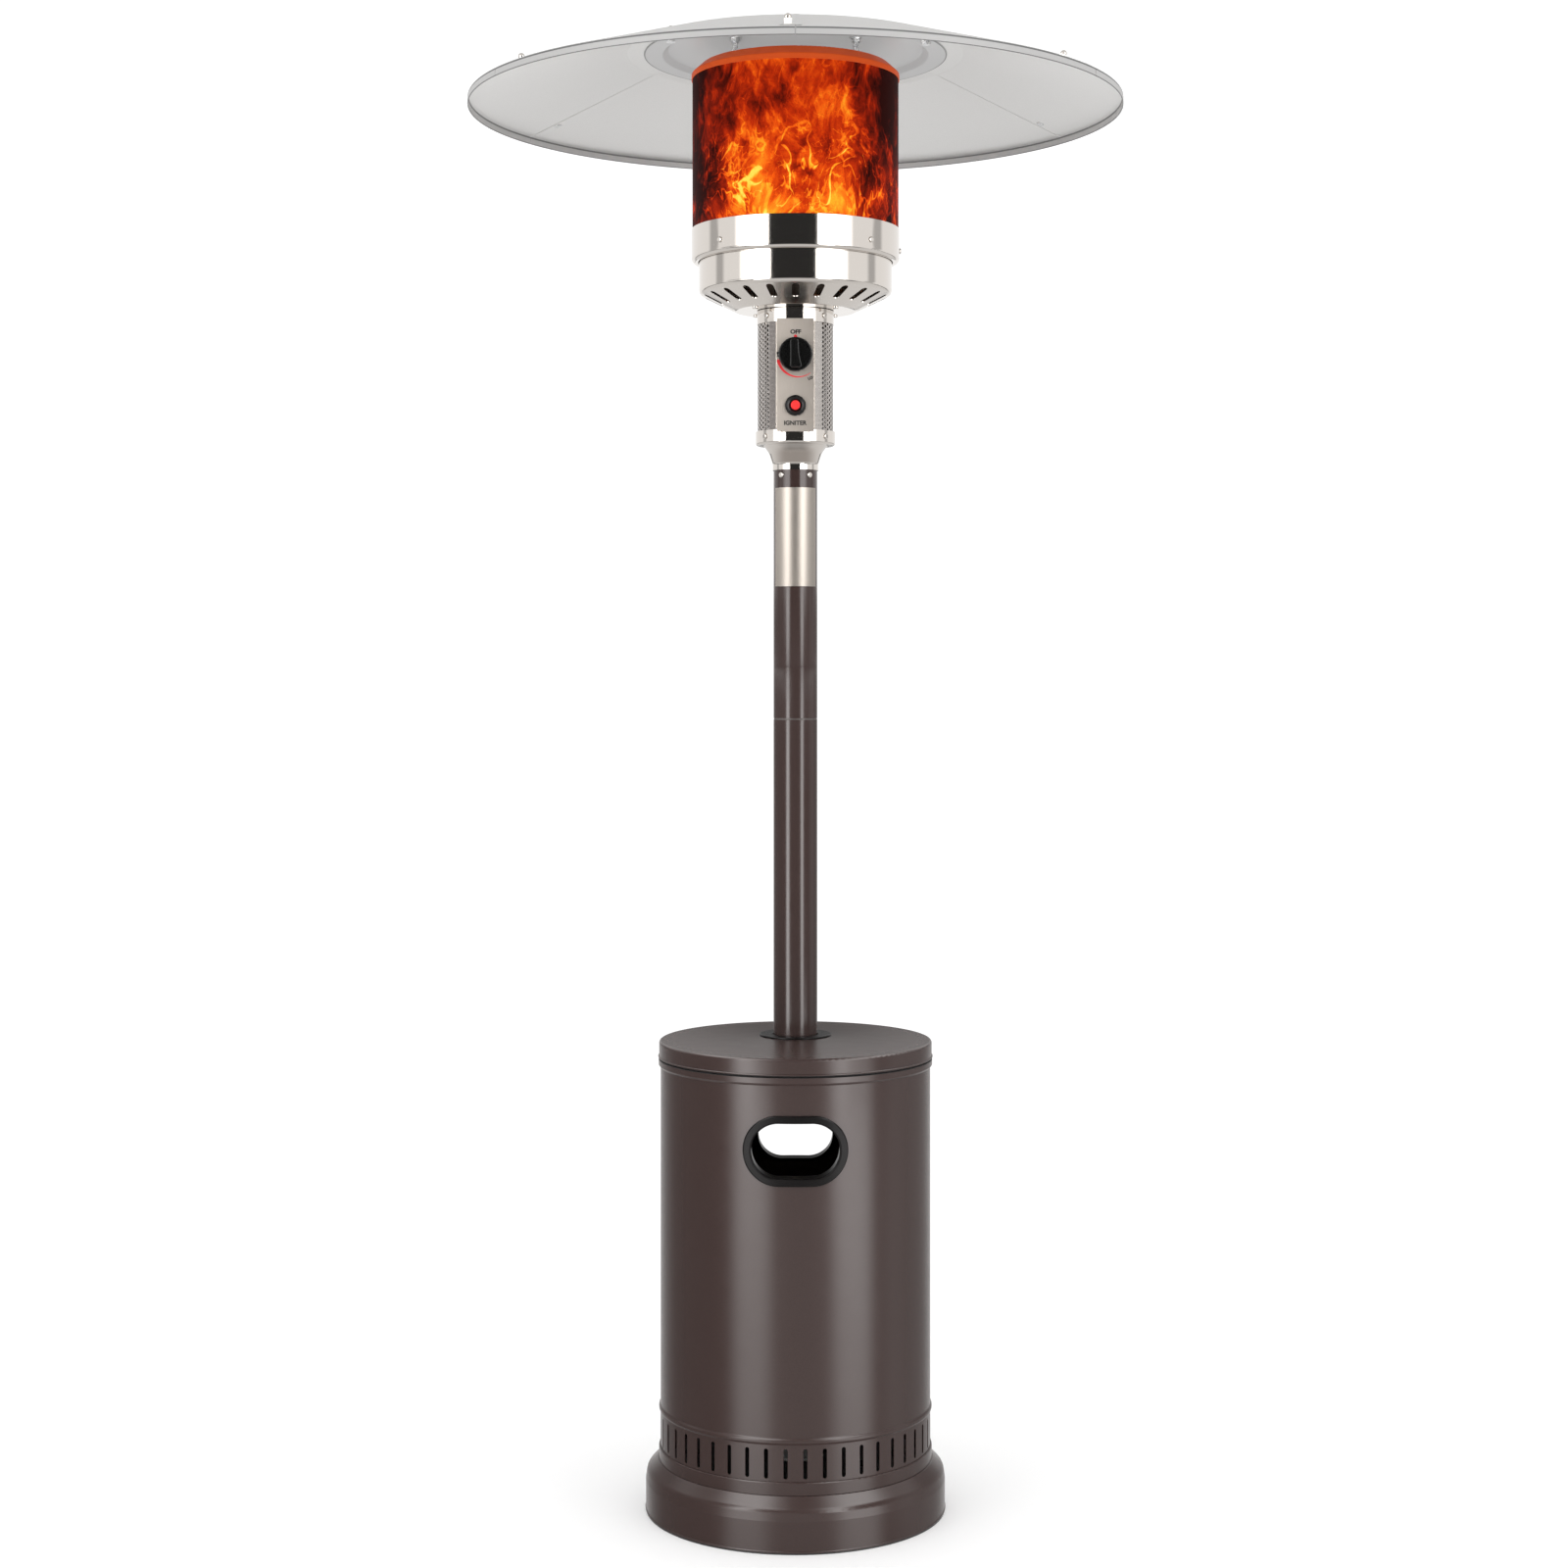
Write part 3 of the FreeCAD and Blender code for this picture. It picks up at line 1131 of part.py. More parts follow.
doc.recompute()
for o in doc.Objects:
    for word in ("Invalid", "Error"):
        if word in o.State:
            raise RuntimeError("%s is %s" % (o.Name, o.State))
os.makedirs("parts", exist_ok=True)
seen = set()
for o in PARTS:
    shape = o.Shape
    if shape.isNull() or not shape.isValid() or not shape.Solids:
        raise RuntimeError("%s has no valid solid" % o.Label)
    if o.Label in seen or o.Label.endswith("001"):
        raise RuntimeError("label used twice: %s" % o.Label)
    seen.add(o.Label)
    shape.exportStep(os.path.join("parts", o.Label + ".step"))
print("%d parts written" % len(seen))
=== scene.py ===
import math

import bmesh
import bpy
from mathutils import Matrix, Vector


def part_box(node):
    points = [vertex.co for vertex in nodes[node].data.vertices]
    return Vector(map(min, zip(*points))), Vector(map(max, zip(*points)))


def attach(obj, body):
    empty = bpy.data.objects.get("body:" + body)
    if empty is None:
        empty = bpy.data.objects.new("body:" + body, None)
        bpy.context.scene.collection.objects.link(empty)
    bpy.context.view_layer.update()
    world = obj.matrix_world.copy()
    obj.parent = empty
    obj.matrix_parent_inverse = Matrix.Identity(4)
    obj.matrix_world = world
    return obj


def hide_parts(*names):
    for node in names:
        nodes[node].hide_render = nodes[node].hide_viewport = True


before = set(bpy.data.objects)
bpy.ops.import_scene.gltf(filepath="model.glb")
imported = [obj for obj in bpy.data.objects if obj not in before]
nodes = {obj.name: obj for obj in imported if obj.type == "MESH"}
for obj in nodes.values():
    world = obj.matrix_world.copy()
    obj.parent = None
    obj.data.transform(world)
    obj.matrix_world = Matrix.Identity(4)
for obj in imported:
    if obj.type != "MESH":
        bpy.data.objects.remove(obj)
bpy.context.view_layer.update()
scene = bpy.context.scene

# ------------------------------------------------------------------- camera

lens = bpy.data.cameras.new("camera")
lens.lens = 60.9
lens.sensor_width = 36
lens.shift_x = -0.0073
lens.shift_y = -0.075
lens.clip_start = 0.05
lens.clip_end = 400
camera = bpy.data.objects.new("camera", lens)
camera.location = (0, -4.0, 1.265)
camera.rotation_euler = (math.radians(90), 0, 0)
scene.collection.objects.link(camera)
scene.camera = camera

scene.view_settings.view_transform = "Standard"
scene.view_settings.look = "None"
scene.view_settings.exposure = 0
scene.view_settings.gamma = 1


# ------------------------------------------------------------ shader helpers

class Shade:
    """A node material, with short calls for the textures that the finishes share."""

    def __init__(self, name):
        self.mat = bpy.data.materials.new(name)
        self.mat.use_nodes = True
        self.tree = self.mat.node_tree
        self.bsdf = self.tree.nodes["Principled BSDF"]
        self.at = self.add("ShaderNodeTexCoord").outputs["Object"]

    def add(self, kind, inputs=None, **settings):
        node = self.tree.nodes.new(kind)
        for k, v in settings.items():
            setattr(node, k, v)
        for k, v in (inputs or {}).items():
            self.feed(node.inputs[k], v)
        return node

    def feed(self, socket, value):
        if isinstance(value, bpy.types.NodeSocket):
            self.tree.links.new(value, socket)
        else:
            socket.default_value = value

    def math(self, op, a, b=0.0, c=0.0):
        node = self.add("ShaderNodeMath", {0: a, 1: b, 2: c}, operation=op)
        return node.outputs[0]

    def stretch(self, x, y, z, vector=None):
        node = self.add("ShaderNodeVectorMath", {0: vector or self.at, 1: (x, y, z)}, operation="MULTIPLY")
        return node.outputs[0]

    def noise(self, scale, detail=2.0, rough=0.5, vector=None, distortion=0.0):
        node = self.add("ShaderNodeTexNoise", {"Vector": vector or self.at, "Scale": scale, "Detail": detail,
                                               "Roughness": rough, "Distortion": distortion})
        return node.outputs["Fac"]

    def cells(self, scale, vector=None, feature="F1"):
        node = self.add("ShaderNodeTexVoronoi", {"Vector": vector or self.at, "Scale": scale}, feature=feature)
        return node.outputs["Distance"]

    def span(self, value, low, high, to_low=0.0, to_high=1.0, smooth=False):
        node = self.add("ShaderNodeMapRange", {0: value, 1: low, 2: high, 3: to_low, 4: to_high}, clamp=True,
                        interpolation_type="SMOOTHSTEP" if smooth else "LINEAR")
        return node.outputs[0]

    def ramp(self, value, *stops):
        node = self.add("ShaderNodeValToRGB", {0: value})
        ramp = node.color_ramp
        while len(ramp.elements) < len(stops):
            ramp.elements.new(0.5)
        for e, (place, colour) in zip(ramp.elements, stops):
            e.position = place
            e.color = (*colour, 1)
        return node.outputs[0]

    def mix(self, fac, a, b, kind="MIX"):
        node = self.add("ShaderNodeMix", {0: fac}, data_type="RGBA", blend_type=kind)
        self.feed(node.inputs[6], a if isinstance(a, bpy.types.NodeSocket) else (*a, 1))
        self.feed(node.inputs[7], b if isinstance(b, bpy.types.NodeSocket) else (*b, 1))
        return node.outputs[2]

    def bump(self, height, depth, strength=1.0, under=None):
        node = self.add("ShaderNodeBump", {"Height": height, "Distance": depth, "Strength": strength})
        if under is not None:
            self.feed(node.inputs["Normal"], under)
        return node.outputs[0]

    def set(self, **values):
        names = {"colour": "Base Color", "metal": "Metallic", "rough": "Roughness", "normal": "Normal",
                 "specular": "Specular IOR Level", "glow": "Emission Color", "glow_strength": "Emission Strength",
                 "coat": "Coat Weight", "coat_rough": "Coat Roughness", "grain": "Anisotropic"}
        for k, v in values.items():
            if isinstance(v, tuple) and len(v) == 3:
                v = (*v, 1)
            self.feed(self.bsdf.inputs[names[k]], v)
        return self


# ----------------------------------------------------------------- materials

made = {}


def finish_of(name):
    s = Shade(name)
    made[name] = s.mat
    return s


s = finish_of("brown_paint")
speck = s.noise(900, 2, 0.5)
cloud = s.noise(9, 3, 0.55)
tone = s.mix(s.span(speck, 0.3, 0.7), (0.036, 0.0205, 0.0182), (0.043, 0.0250, 0.0222))
tone = s.mix(s.span(cloud, 0.3, 0.7, 0, 0.3), tone, (0.041, 0.0242, 0.0218))
px, py, above = s.add("ShaderNodeSeparateXYZ", {0: s.at}).outputs
out = s.math("SQRT", s.math("ADD", s.math("MULTIPLY", px, px), s.math("MULTIPLY", py, py)))
# painted shade: the narrow gap between the lid and the shell is painted near black, and made rougher
shaded_lid_gap = s.math("MULTIPLY", s.span(above, 0.67530, 0.67545), s.span(above, 0.6786, 0.6789, 1.0, 0.0))
tone = s.mix(shaded_lid_gap, tone, (0.003, 0.002, 0.002))
top = s.math("MULTIPLY", s.span(above, 0.7034, 0.7040), s.span(above, 0.7115, 0.7120, 1.0, 0.0))
dark_reflection_ring = s.math("MULTIPLY", s.span(out, 0.1985, 0.2005), s.span(out, 0.2018, 0.2026, 1.0, 0.0))
# painted shade: the lid's top is darkened, most strongly near the pole
tone = s.mix(s.math("MULTIPLY", top, s.span(out, 0.05, 0.19, 0.34, 0.10)), tone, (0.0, 0.0, 0.0))
# painted reflection: a thin dark ring is painted round the lid's top near its folded edge
tone = s.mix(s.math("MULTIPLY", top, dark_reflection_ring), tone, (0.012, 0.005, 0.004))
gloss = s.math("MULTIPLY_ADD", top, 0.05, s.span(above, 0.715, 0.725, 0.25, 0.17))
gloss = s.math("MULTIPLY_ADD", shaded_lid_gap, 0.4, gloss)
s.set(colour=tone, rough=s.math("ADD", s.span(s.noise(40, 2), 0.3, 0.7, -0.015, 0.015), gloss),
      normal=s.bump(s.noise(160, 2, 0.4), 0.000006, 0.4), specular=0.5)

s = finish_of("black_paint")
speck = s.noise(1500, 2, 0.6)
s.set(colour=s.mix(speck, (0.012, 0.012, 0.012), (0.028, 0.027, 0.026)), rough=s.span(s.noise(40), 0.3, 0.7, 0.38, 0.5),
      normal=s.bump(speck, 0.00004, 0.4))

s = finish_of("polished_steel")
drawn = s.noise(30, 3, 0.6, s.stretch(1, 1, 60))
aside, _, above = s.add("ShaderNodeSeparateXYZ", {0: s.at}).outputs
floor_part = s.math("MULTIPLY", s.span(above, 1.8005, 1.8015), s.span(above, 1.826, 1.829, 1.0, 0.0))
# painted reflection: a dark brown strip is painted down the front and back of the flare
flare_reflection = s.math("MULTIPLY", s.span(above, 1.5700, 1.5712), s.span(above, 1.584, 1.600, 1.0, 0.0, smooth=True))
flare_reflection = s.math("MULTIPLY", flare_reflection, s.span(s.math("ABSOLUTE", aside), 0.014, 0.038, 0.72, 0.0, smooth=True))
s.set(colour=s.mix(flare_reflection, s.mix(s.noise(6, 2), (0.63, 0.590, 0.550), (0.67, 0.630, 0.590)), (0.26, 0.215, 0.185)), metal=1.0,
      rough=s.math("MULTIPLY_ADD", floor_part, 0.11, s.span(drawn, 0.25, 0.75, 0.055, 0.085)),
      normal=s.bump(drawn, 0.000006, 0.4))

s = finish_of("satin_steel")
line = s.noise(55, 4, 0.65, s.stretch(55, 55, 1))
above = s.add("ShaderNodeSeparateXYZ", {0: s.at}).outputs
dull = s.math("ADD", s.span(above[2], 1.599, 1.600, 0.42, 0.50), s.span(above[0], -0.03, 0.03, 0.03, -0.05))
# painted shade: the colour is lighter on the left (-x) and darker on the right (+x)
side = s.mix(s.span(above[0], -0.03, 0.03), (0.94, 0.94, 0.94), (0.80, 0.80, 0.80))
skin = s.mix(s.span(line, 0.3, 0.7), (0.53, 0.475, 0.425), (0.61, 0.555, 0.50))
skin = s.mix(s.span(above[2], 1.599, 1.600, 0.18, 0.0), skin, (0.0, 0.0, 0.0))
s.set(colour=s.mix(1.0, skin, side, "MULTIPLY"), metal=1.0,
      rough=s.math("ADD", dull, s.span(line, 0.3, 0.7, -0.03, 0.03)), normal=s.bump(line, 0.000006, 0.4))

s = finish_of("mesh_steel")
dull = s.noise(90, 3, 0.6)
px, py, _ = s.add("ShaderNodeSeparateXYZ", {0: s.at}).outputs
turn = s.math("ARCTAN2", px, s.math("MULTIPLY", py, -1.0))
margin = s.span(s.math("ABSOLUTE", turn), math.radians(42.5), math.radians(44.5), 1.0, 0.0)
# painted shade: the plain margin left of the panel is painted darker than the one on the right
left = s.span(turn, -0.1, 0.1, 1.0, 0.0)
skin = s.mix(dull, (0.38, 0.35, 0.33), (0.52, 0.485, 0.46))
margin_colour_and_shade = s.mix(left, (0.40, 0.375, 0.355), (0.22, 0.20, 0.19))
s.set(colour=s.mix(margin, skin, margin_colour_and_shade), metal=1.0, rough=s.span(dull, 0.3, 0.7, 0.20, 0.30),
      normal=s.bump(s.noise(600, 2), 0.00002, 0.4))

# painted shade: the inner faces of the neck's sheet get a near-black, matt finish
s = finish_of("mesh_inside_shade")
s.set(colour=s.mix(s.noise(60, 3), (0.050, 0.045, 0.042), (0.090, 0.082, 0.076)), metal=0.0, rough=0.8, specular=0.05)

s = finish_of("sleeve_steel")
s.set(colour=s.mix(s.noise(70, 3), (0.05, 0.04, 0.036), (0.075, 0.06, 0.055)), metal=0.0,
      rough=s.span(s.noise(200), 0.3, 0.7, 0.3, 0.42), normal=s.bump(s.noise(700), 0.00003, 0.4))

s = finish_of("tank_plastic")
grain = s.noise(900, 3, 0.6)
s.set(colour=s.mix(s.noise(5, 2), (0.020, 0.020, 0.021), (0.032, 0.032, 0.033)), rough=s.span(grain, 0.3, 0.7, 0.45, 0.62),
      normal=s.bump(grain, 0.00008, 0.5))

s = finish_of("white_plastic")
s.set(colour=s.mix(s.noise(30, 2), (0.78, 0.77, 0.74), (0.86, 0.855, 0.83)), rough=s.span(s.noise(500), 0.3, 0.7, 0.35, 0.48),
      normal=s.bump(s.noise(800), 0.00003, 0.4))

s = finish_of("zinc_steel")
spangle = s.cells(160)
s.set(colour=s.mix(s.span(spangle, 0.1, 0.7), (0.55, 0.56, 0.58), (0.74, 0.74, 0.73)), metal=1.0,
      rough=s.span(s.noise(300, 2), 0.3, 0.7, 0.22, 0.36), normal=s.bump(s.noise(500), 0.00002, 0.4))

s = finish_of("copper_tube")
s.set(colour=s.mix(s.noise(25, 3), (0.72, 0.36, 0.22), (0.86, 0.50, 0.34)), metal=1.0,
      rough=s.span(s.noise(60), 0.3, 0.7, 0.2, 0.38), normal=s.bump(s.noise(400), 0.00002, 0.4))

s = finish_of("brass")
s.set(colour=s.mix(s.noise(40, 3), (0.68, 0.48, 0.20), (0.80, 0.60, 0.30)), metal=1.0,
      rough=s.span(s.noise(120), 0.3, 0.7, 0.22, 0.36), normal=s.bump(s.noise(500), 0.00002, 0.4))

s = finish_of("black_plastic")
grain = s.noise(1200, 2, 0.5)
s.set(colour=s.mix(s.noise(60, 2), (0.002, 0.002, 0.002), (0.005, 0.005, 0.005)), rough=s.span(grain, 0.3, 0.7, 0.22, 0.30),
      normal=s.bump(grain, 0.000006, 0.3), specular=0.35)

s = finish_of("black_trim")
grain = s.noise(900, 2, 0.5)
s.set(colour=s.mix(s.noise(60, 2), (0.004, 0.0035, 0.0035), (0.007, 0.006, 0.006)), rough=s.span(grain, 0.3, 0.7, 0.26, 0.34),
      normal=s.bump(grain, 0.000008, 0.3), specular=0.14)

# painted glow: red plastic is given a faint red emission, though it is no lamp
s = finish_of("red_plastic")
s.set(colour=s.mix(s.noise(200, 2), (0.80, 0.012, 0.014), (0.92, 0.030, 0.026)), rough=s.span(s.noise(700), 0.3, 0.7, 0.3, 0.4),
      normal=s.bump(s.noise(900), 0.00002, 0.3), glow=(0.9, 0.02, 0.02), glow_strength=0.12)

s = finish_of("inner_steel")
s.set(colour=s.mix(s.noise(25, 4, 0.65), (0.22, 0.18, 0.16), (0.42, 0.37, 0.33)), metal=1.0,
      rough=s.span(s.noise(80, 3), 0.3, 0.7, 0.32, 0.55), normal=s.bump(s.noise(500), 0.00003, 0.4))

s = finish_of("electrode_ceramic")
s.set(colour=s.mix(s.noise(80, 2), (0.78, 0.76, 0.72), (0.88, 0.87, 0.84)), rough=s.span(s.noise(400), 0.3, 0.7, 0.3, 0.42),
      normal=s.bump(s.noise(700), 0.00003, 0.3))

s = finish_of("reflector_aluminium")
fine = s.noise(40, 4, 0.6, s.stretch(14, 14, 14))
broad = s.noise(3.2, 2, 0.5)
px, py, pz = s.add("ShaderNodeSeparateXYZ", {0: s.at}).outputs
out = s.math("SQRT", s.math("ADD", s.math("MULTIPLY", px, px), s.math("MULTIPLY", py, py)))
lip = s.math("MULTIPLY", s.span(out, 0.4885, 0.4890), s.span(pz, 2.1118, 2.1124, 1.0, 0.0))
fold_shade = s.math("MULTIPLY", s.span(pz, 2.1095, 2.1100), lip)
hem_shade = s.math("MULTIPLY", s.span(pz, 2.1018, 2.1022, 1.0, 0.0), lip)
middle = s.span(out, 0.2275, 0.2285, 1.0, 0.0)
# painted shadow: a dark ring is painted along the edge of the centre plate
rim = s.math("MULTIPLY", s.span(out, 0.2258, 0.2262), middle)
skin = s.mix(s.span(fine, 0.3, 0.7), (0.745, 0.740, 0.730), (0.790, 0.785, 0.775))
skin = s.mix(middle, skin, (0.47, 0.47, 0.47))
skin = s.mix(rim, skin, (0.20, 0.20, 0.20))
skin = s.mix(lip, skin, (0.42, 0.415, 0.41))
# painted shade: dark lines are painted along the fold and the hem of the lip
skin = s.mix(s.math("MAXIMUM", fold_shade, hem_shade), skin, (0.13, 0.13, 0.13))
shiny = s.math("SUBTRACT", 1.0, s.math("MAXIMUM", lip, s.math("MULTIPLY", middle, 0.90)))
s.set(colour=skin, metal=shiny, rough=s.span(broad, 0.3, 0.7, 0.40, 0.46), normal=s.bump(fine, 0.000008, 0.5), specular=0.3)

# the screen: curled wisps of fire over a dark red ground, brightest and yellowest low in the middle
s = finish_of("flame_screen")
split = s.add("ShaderNodeSeparateXYZ", {0: s.at})
x, y, z = split.outputs
turn = s.math("ARCTAN2", x, s.math("MULTIPLY", y, -1.0))
low = s.span(z, 1.93, 2.14, 1.0, 0.0)
flow = s.stretch(1, 1, 0.62)


def pushed(where, scale, reach, detail=1.0):
    """The place moved about by a coloured noise, so that straight wisps curl."""
    drift = s.add("ShaderNodeTexNoise", {"Vector": where, "Scale": scale, "Detail": detail})
    shift = s.add("ShaderNodeVectorMath", {0: drift.outputs["Color"], 1: (0.5, 0.5, 0.5)}, operation="SUBTRACT").outputs[0]
    shift = s.add("ShaderNodeVectorMath", {0: shift, 1: (reach, reach, reach)}, operation="MULTIPLY").outputs[0]
    return s.add("ShaderNodeVectorMath", {0: where, 1: shift}, operation="ADD").outputs[0]


def stroke(scale, width, where, swell, detail=1.0):
    """Curved strokes along the middle value of a noise. They taper to nothing where the swell does."""
    away = s.math("ABSOLUTE", s.math("SUBTRACT", s.noise(scale, detail, 0.45, where), 0.5))
    reach = s.math("MAXIMUM", s.math("MULTIPLY", swell, width), 0.0005)
    return s.span(s.math("DIVIDE", away, reach), 0.25, 1.0, 1.0, 0.0, smooth=True)


curl = pushed(pushed(flow, 13.0, 0.085), 46.0, 0.026, 2.0)
swirl = pushed(flow, 11.0, 0.10, 1.5)
# painted shade: the glow is brightest facing front and back and fades to dark at the sides
facing = s.math("ABSOLUTE", s.math("COSINE", turn))
side = s.span(facing, 0.38, 1.0, 0.0, 1.0, smooth=True)
body = s.noise(44, 6, 0.62, curl)
lump = s.noise(15, 3, 0.55, pushed(flow, 9.0, 0.06))
heat = s.math("ADD", s.math("MULTIPLY_ADD", side, 0.66, -0.05), s.math("MULTIPLY", s.math("SUBTRACT", body, 0.5), 1.35))
heat = s.math("ADD", heat, s.math("MULTIPLY", s.math("SUBTRACT", lump, 0.5), 1.25))
heat = s.math("ADD", heat, s.math("MULTIPLY", s.math("MULTIPLY", low, low), 0.20))
lower = s.span(low, 0.25, 0.85, 0.30, 1.0, smooth=True)
inner = s.span(side, 0.0, 0.55, 0.45, 1.0)
for scale, width, swell, lift in ((24, 0.040, (30, 0.48, 0.66), 0.62), (19, 0.115, (17, 0.47, 0.66), 0.30),
                                  (46, 0.050, (40, 0.47, 0.66), 0.42), (80, 0.070, (34, 0.45, 0.66), 0.26)):
    line = stroke(scale, width, swirl, s.span(s.noise(swell[0], 1, 0.5, flow), swell[1], swell[2]), 1.0 + scale / 60)
    line = s.math("MULTIPLY", s.math("MULTIPLY", line, lower), inner)
    heat = s.math("ADD", heat, s.math("MULTIPLY", line, lift))
blaze = s.math("MULTIPLY", s.span(s.noise(50, 4, 0.6, curl), 0.57, 0.70, smooth=True), s.math("MULTIPLY", lower, inner))
heat = s.math("ADD", heat, s.math("MULTIPLY", blaze, 0.30))
fire = s.ramp(s.math("DIVIDE", heat, 1.5), (0.0, (0.020, 0.0010, 0.0004)), (0.12, (0.075, 0.0040, 0.0010)),
              (0.26, (0.25, 0.0110, 0.0016)), (0.40, (0.52, 0.028, 0.0020)), (0.54, (0.82, 0.085, 0.004)),
              (0.68, (1.0, 0.22, 0.010)), (0.84, (1.0, 0.44, 0.022)), (1.0, (1.0, 0.72, 0.09)))
holes = s.span(s.cells(300, s.stretch(1, 1, 1)), 0.25, 0.4, 0.86, 1.0)
fire = s.mix(1.0, fire, s.add("ShaderNodeCombineColor", {0: holes, 1: holes, 2: holes}).outputs[0], "MULTIPLY")
s.set(colour=s.mix(0.35, fire, (0.0, 0.0, 0.0)), metal=0.0, rough=0.6, glow=fire, glow_strength=0.38, specular=0.03)

s = finish_of("hot_cap")
patch = s.noise(12, 4, 0.6)
lift = s.add("ShaderNodeSeparateXYZ", {0: s.add("ShaderNodeNewGeometry").outputs["Normal"]}).outputs[2]
crown = s.span(lift, 0.90, 0.97)
s.set(colour=s.mix(crown, s.mix(patch, (0.56, 0.064, 0.010), (0.68, 0.094, 0.016)), (0.62, 0.61, 0.60)), metal=0.0, rough=0.45,
      glow=s.mix(crown, s.mix(patch, (0.52, 0.07, 0.018), (0.70, 0.13, 0.03)), (0.0, 0.0, 0.0)), glow_strength=0.08,
      specular=0.08)

s = finish_of("print_black")
s.set(colour=s.mix(s.noise(900, 2), (0.004, 0.004, 0.004), (0.010, 0.009, 0.009)), rough=s.span(s.noise(600), 0.3, 0.7, 0.42, 0.55))

s = finish_of("print_red")
s.set(colour=s.mix(s.noise(900, 2), (0.66, 0.012, 0.020), (0.78, 0.022, 0.030)), rough=s.span(s.noise(600), 0.3, 0.7, 0.42, 0.55))

for name, o in nodes.items():
    for slot in o.material_slots:
        if slot.material.name in made or slot.material.name.split(".")[0] in made:
            slot.material = made[slot.material.name.split(".")[0]]
        else:
            raise SystemExit("no finish for %s on %s" % (slot.material.name, name))


# -------------------------------------------------------------------- pieces

def piece(name, verts, faces, material, body, smooth=True, *, slot=None):
    mesh = bpy.data.meshes.new(name)
    mesh.from_pydata([tuple(v) for v in verts], [], faces)
    mesh.validate()
    o = bpy.data.objects.new(name, mesh)
    scene.collection.objects.link(o)
    mesh.materials.append(made[material])
    if smooth:
        mesh.polygons.foreach_set("use_smooth", [True] * len(mesh.polygons))
    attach(o, body)
    return o


def applied(o):
    """The object with its modifiers made real."""
    bpy.context.view_layer.update()
    shown = o.evaluated_get(bpy.context.evaluated_depsgraph_get())
    mesh = bpy.data.meshes.new_from_object(shown)
    o.modifiers.clear()
    o.data = mesh
    return o


# perforated sheet of the neck: a flat pattern of six-sided cells with a round hole in each, in upright rows,
# rolled round the neck; both upright edges keep a plain margin beside the control panel
low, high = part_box("control_mesh")
bottom, top = low.z, high.z
radius = high.x
gauge = 0.0008
half_gap = math.radians(28)
first_row = math.radians(46.4)
arc = (2 * math.pi - 2 * half_gap) * radius
pitch = 0.00683
tall = top - bottom
per_row = int((tall - 0.006) / pitch)
rows = int(round((2 * math.pi - 2 * first_row) * radius / (pitch * math.sqrt(3) / 2))) + 1
row_gap = (2 * math.pi - 2 * first_row) * radius / (rows - 1)
stretch_q = row_gap / (pitch * math.sqrt(3) / 2)
hole = pitch * 0.33
flat, polys, index = [], [], {}


def corner(u, v):
    key = (round(u * 1e6), round(v * 1e6))
    if key not in index:
        index[key] = len(flat)
        flat.append((u, v))
    return index[key]


start_q = (first_row - half_gap) * radius - row_gap / 2
low_end = (tall - per_row * pitch) / 2
high_end = tall - low_end
for r in range(rows):
    for c in range(per_row + (r % 2)):
        cp = low_end + (c + (0.0 if r % 2 else 0.5)) * pitch
        cq = start_q + (r + 0.5) * row_gap
        rim, ring = [], []
        for k in range(12):
            angle = math.radians(30 * k)
            reach = pitch / math.sqrt(3) if k % 2 == 1 else pitch / 2
            p = min(max(cp + reach * math.cos(angle), low_end), high_end)
            q = cq + reach * math.sin(angle) * stretch_q
            rim.append(corner(q, p))
            if abs(cp - low_end) < 1e-6 or abs(cp - high_end) < 1e-6:
                ring.append(None)
            else:
                flat.append((cq + hole * math.sin(angle), cp + hole * math.cos(angle)))
                ring.append(len(flat) - 1)
        if ring[0] is None:
            outline = []
            for i in rim:
                if i not in outline:
                    outline.append(i)
            if len(outline) > 2:
                polys.append(outline)
        else:
            for k in range(12):
                n = (k + 1) % 12
                polys.append([rim[k], rim[n], ring[n], ring[k]])
build = bmesh.new()
bv = [build.verts.new((u, v, 0)) for u, v in flat]
for p in polys:
    try:
        build.faces.new([bv[i] for i in p])
    except ValueError:
        pass
# plain borders: the open edges of the pattern are carried out to the sheet's own edges
bmesh.ops.dissolve_degenerate(build, dist=1e-7, edges=build.edges)
border = [e for e in build.edges if e.is_boundary]


def is_outer(e):
    m = (e.verts[0].co + e.verts[1].co) / 2
    return (m.y < low_end + 1e-5 or m.y > high_end - 1e-5 or m.x < start_q + pitch * 0.32
            or m.x > start_q + rows * row_gap - pitch * 0.32) and e.calc_length() > hole * 0.54


outer = [e for e in border if is_outer(e)]
grown = bmesh.ops.extrude_edge_only(build, edges=outer)
for v in [g for g in grown["geom"] if isinstance(g, bmesh.types.BMVert)]:
    if v.co.x < start_q + pitch * 0.32 and v.co.x < arc / 2:
        v.co.x = 0
    elif v.co.x > start_q + rows * row_gap - pitch * 0.32:
        v.co.x = arc
    if v.co.y < low_end + 1e-5:
        v.co.y = 0
    elif v.co.y > high_end - 1e-5:
        v.co.y = tall
bmesh.ops.remove_doubles(build, verts=build.verts, dist=1e-6)
for v in build.verts:
    a = half_gap + v.co.x / radius
    reach = radius - gauge / 2
    v.co = Vector((-math.sin(a) * reach, -math.cos(a) * reach, bottom + v.co.y))
bmesh.ops.recalc_face_normals(build, faces=build.faces)
mesh = bpy.data.meshes.new("neck_mesh")
build.to_mesh(mesh)
build.free()
sheet = bpy.data.objects.new("neck_mesh", mesh)
scene.collection.objects.link(sheet)
mesh.materials.append(made["mesh_steel"])
thick = sheet.modifiers.new("gauge", "SOLIDIFY")
thick.thickness = gauge
thick.offset = 0
applied(sheet)
sheet.data.materials.append(made["mesh_inside_shade"])
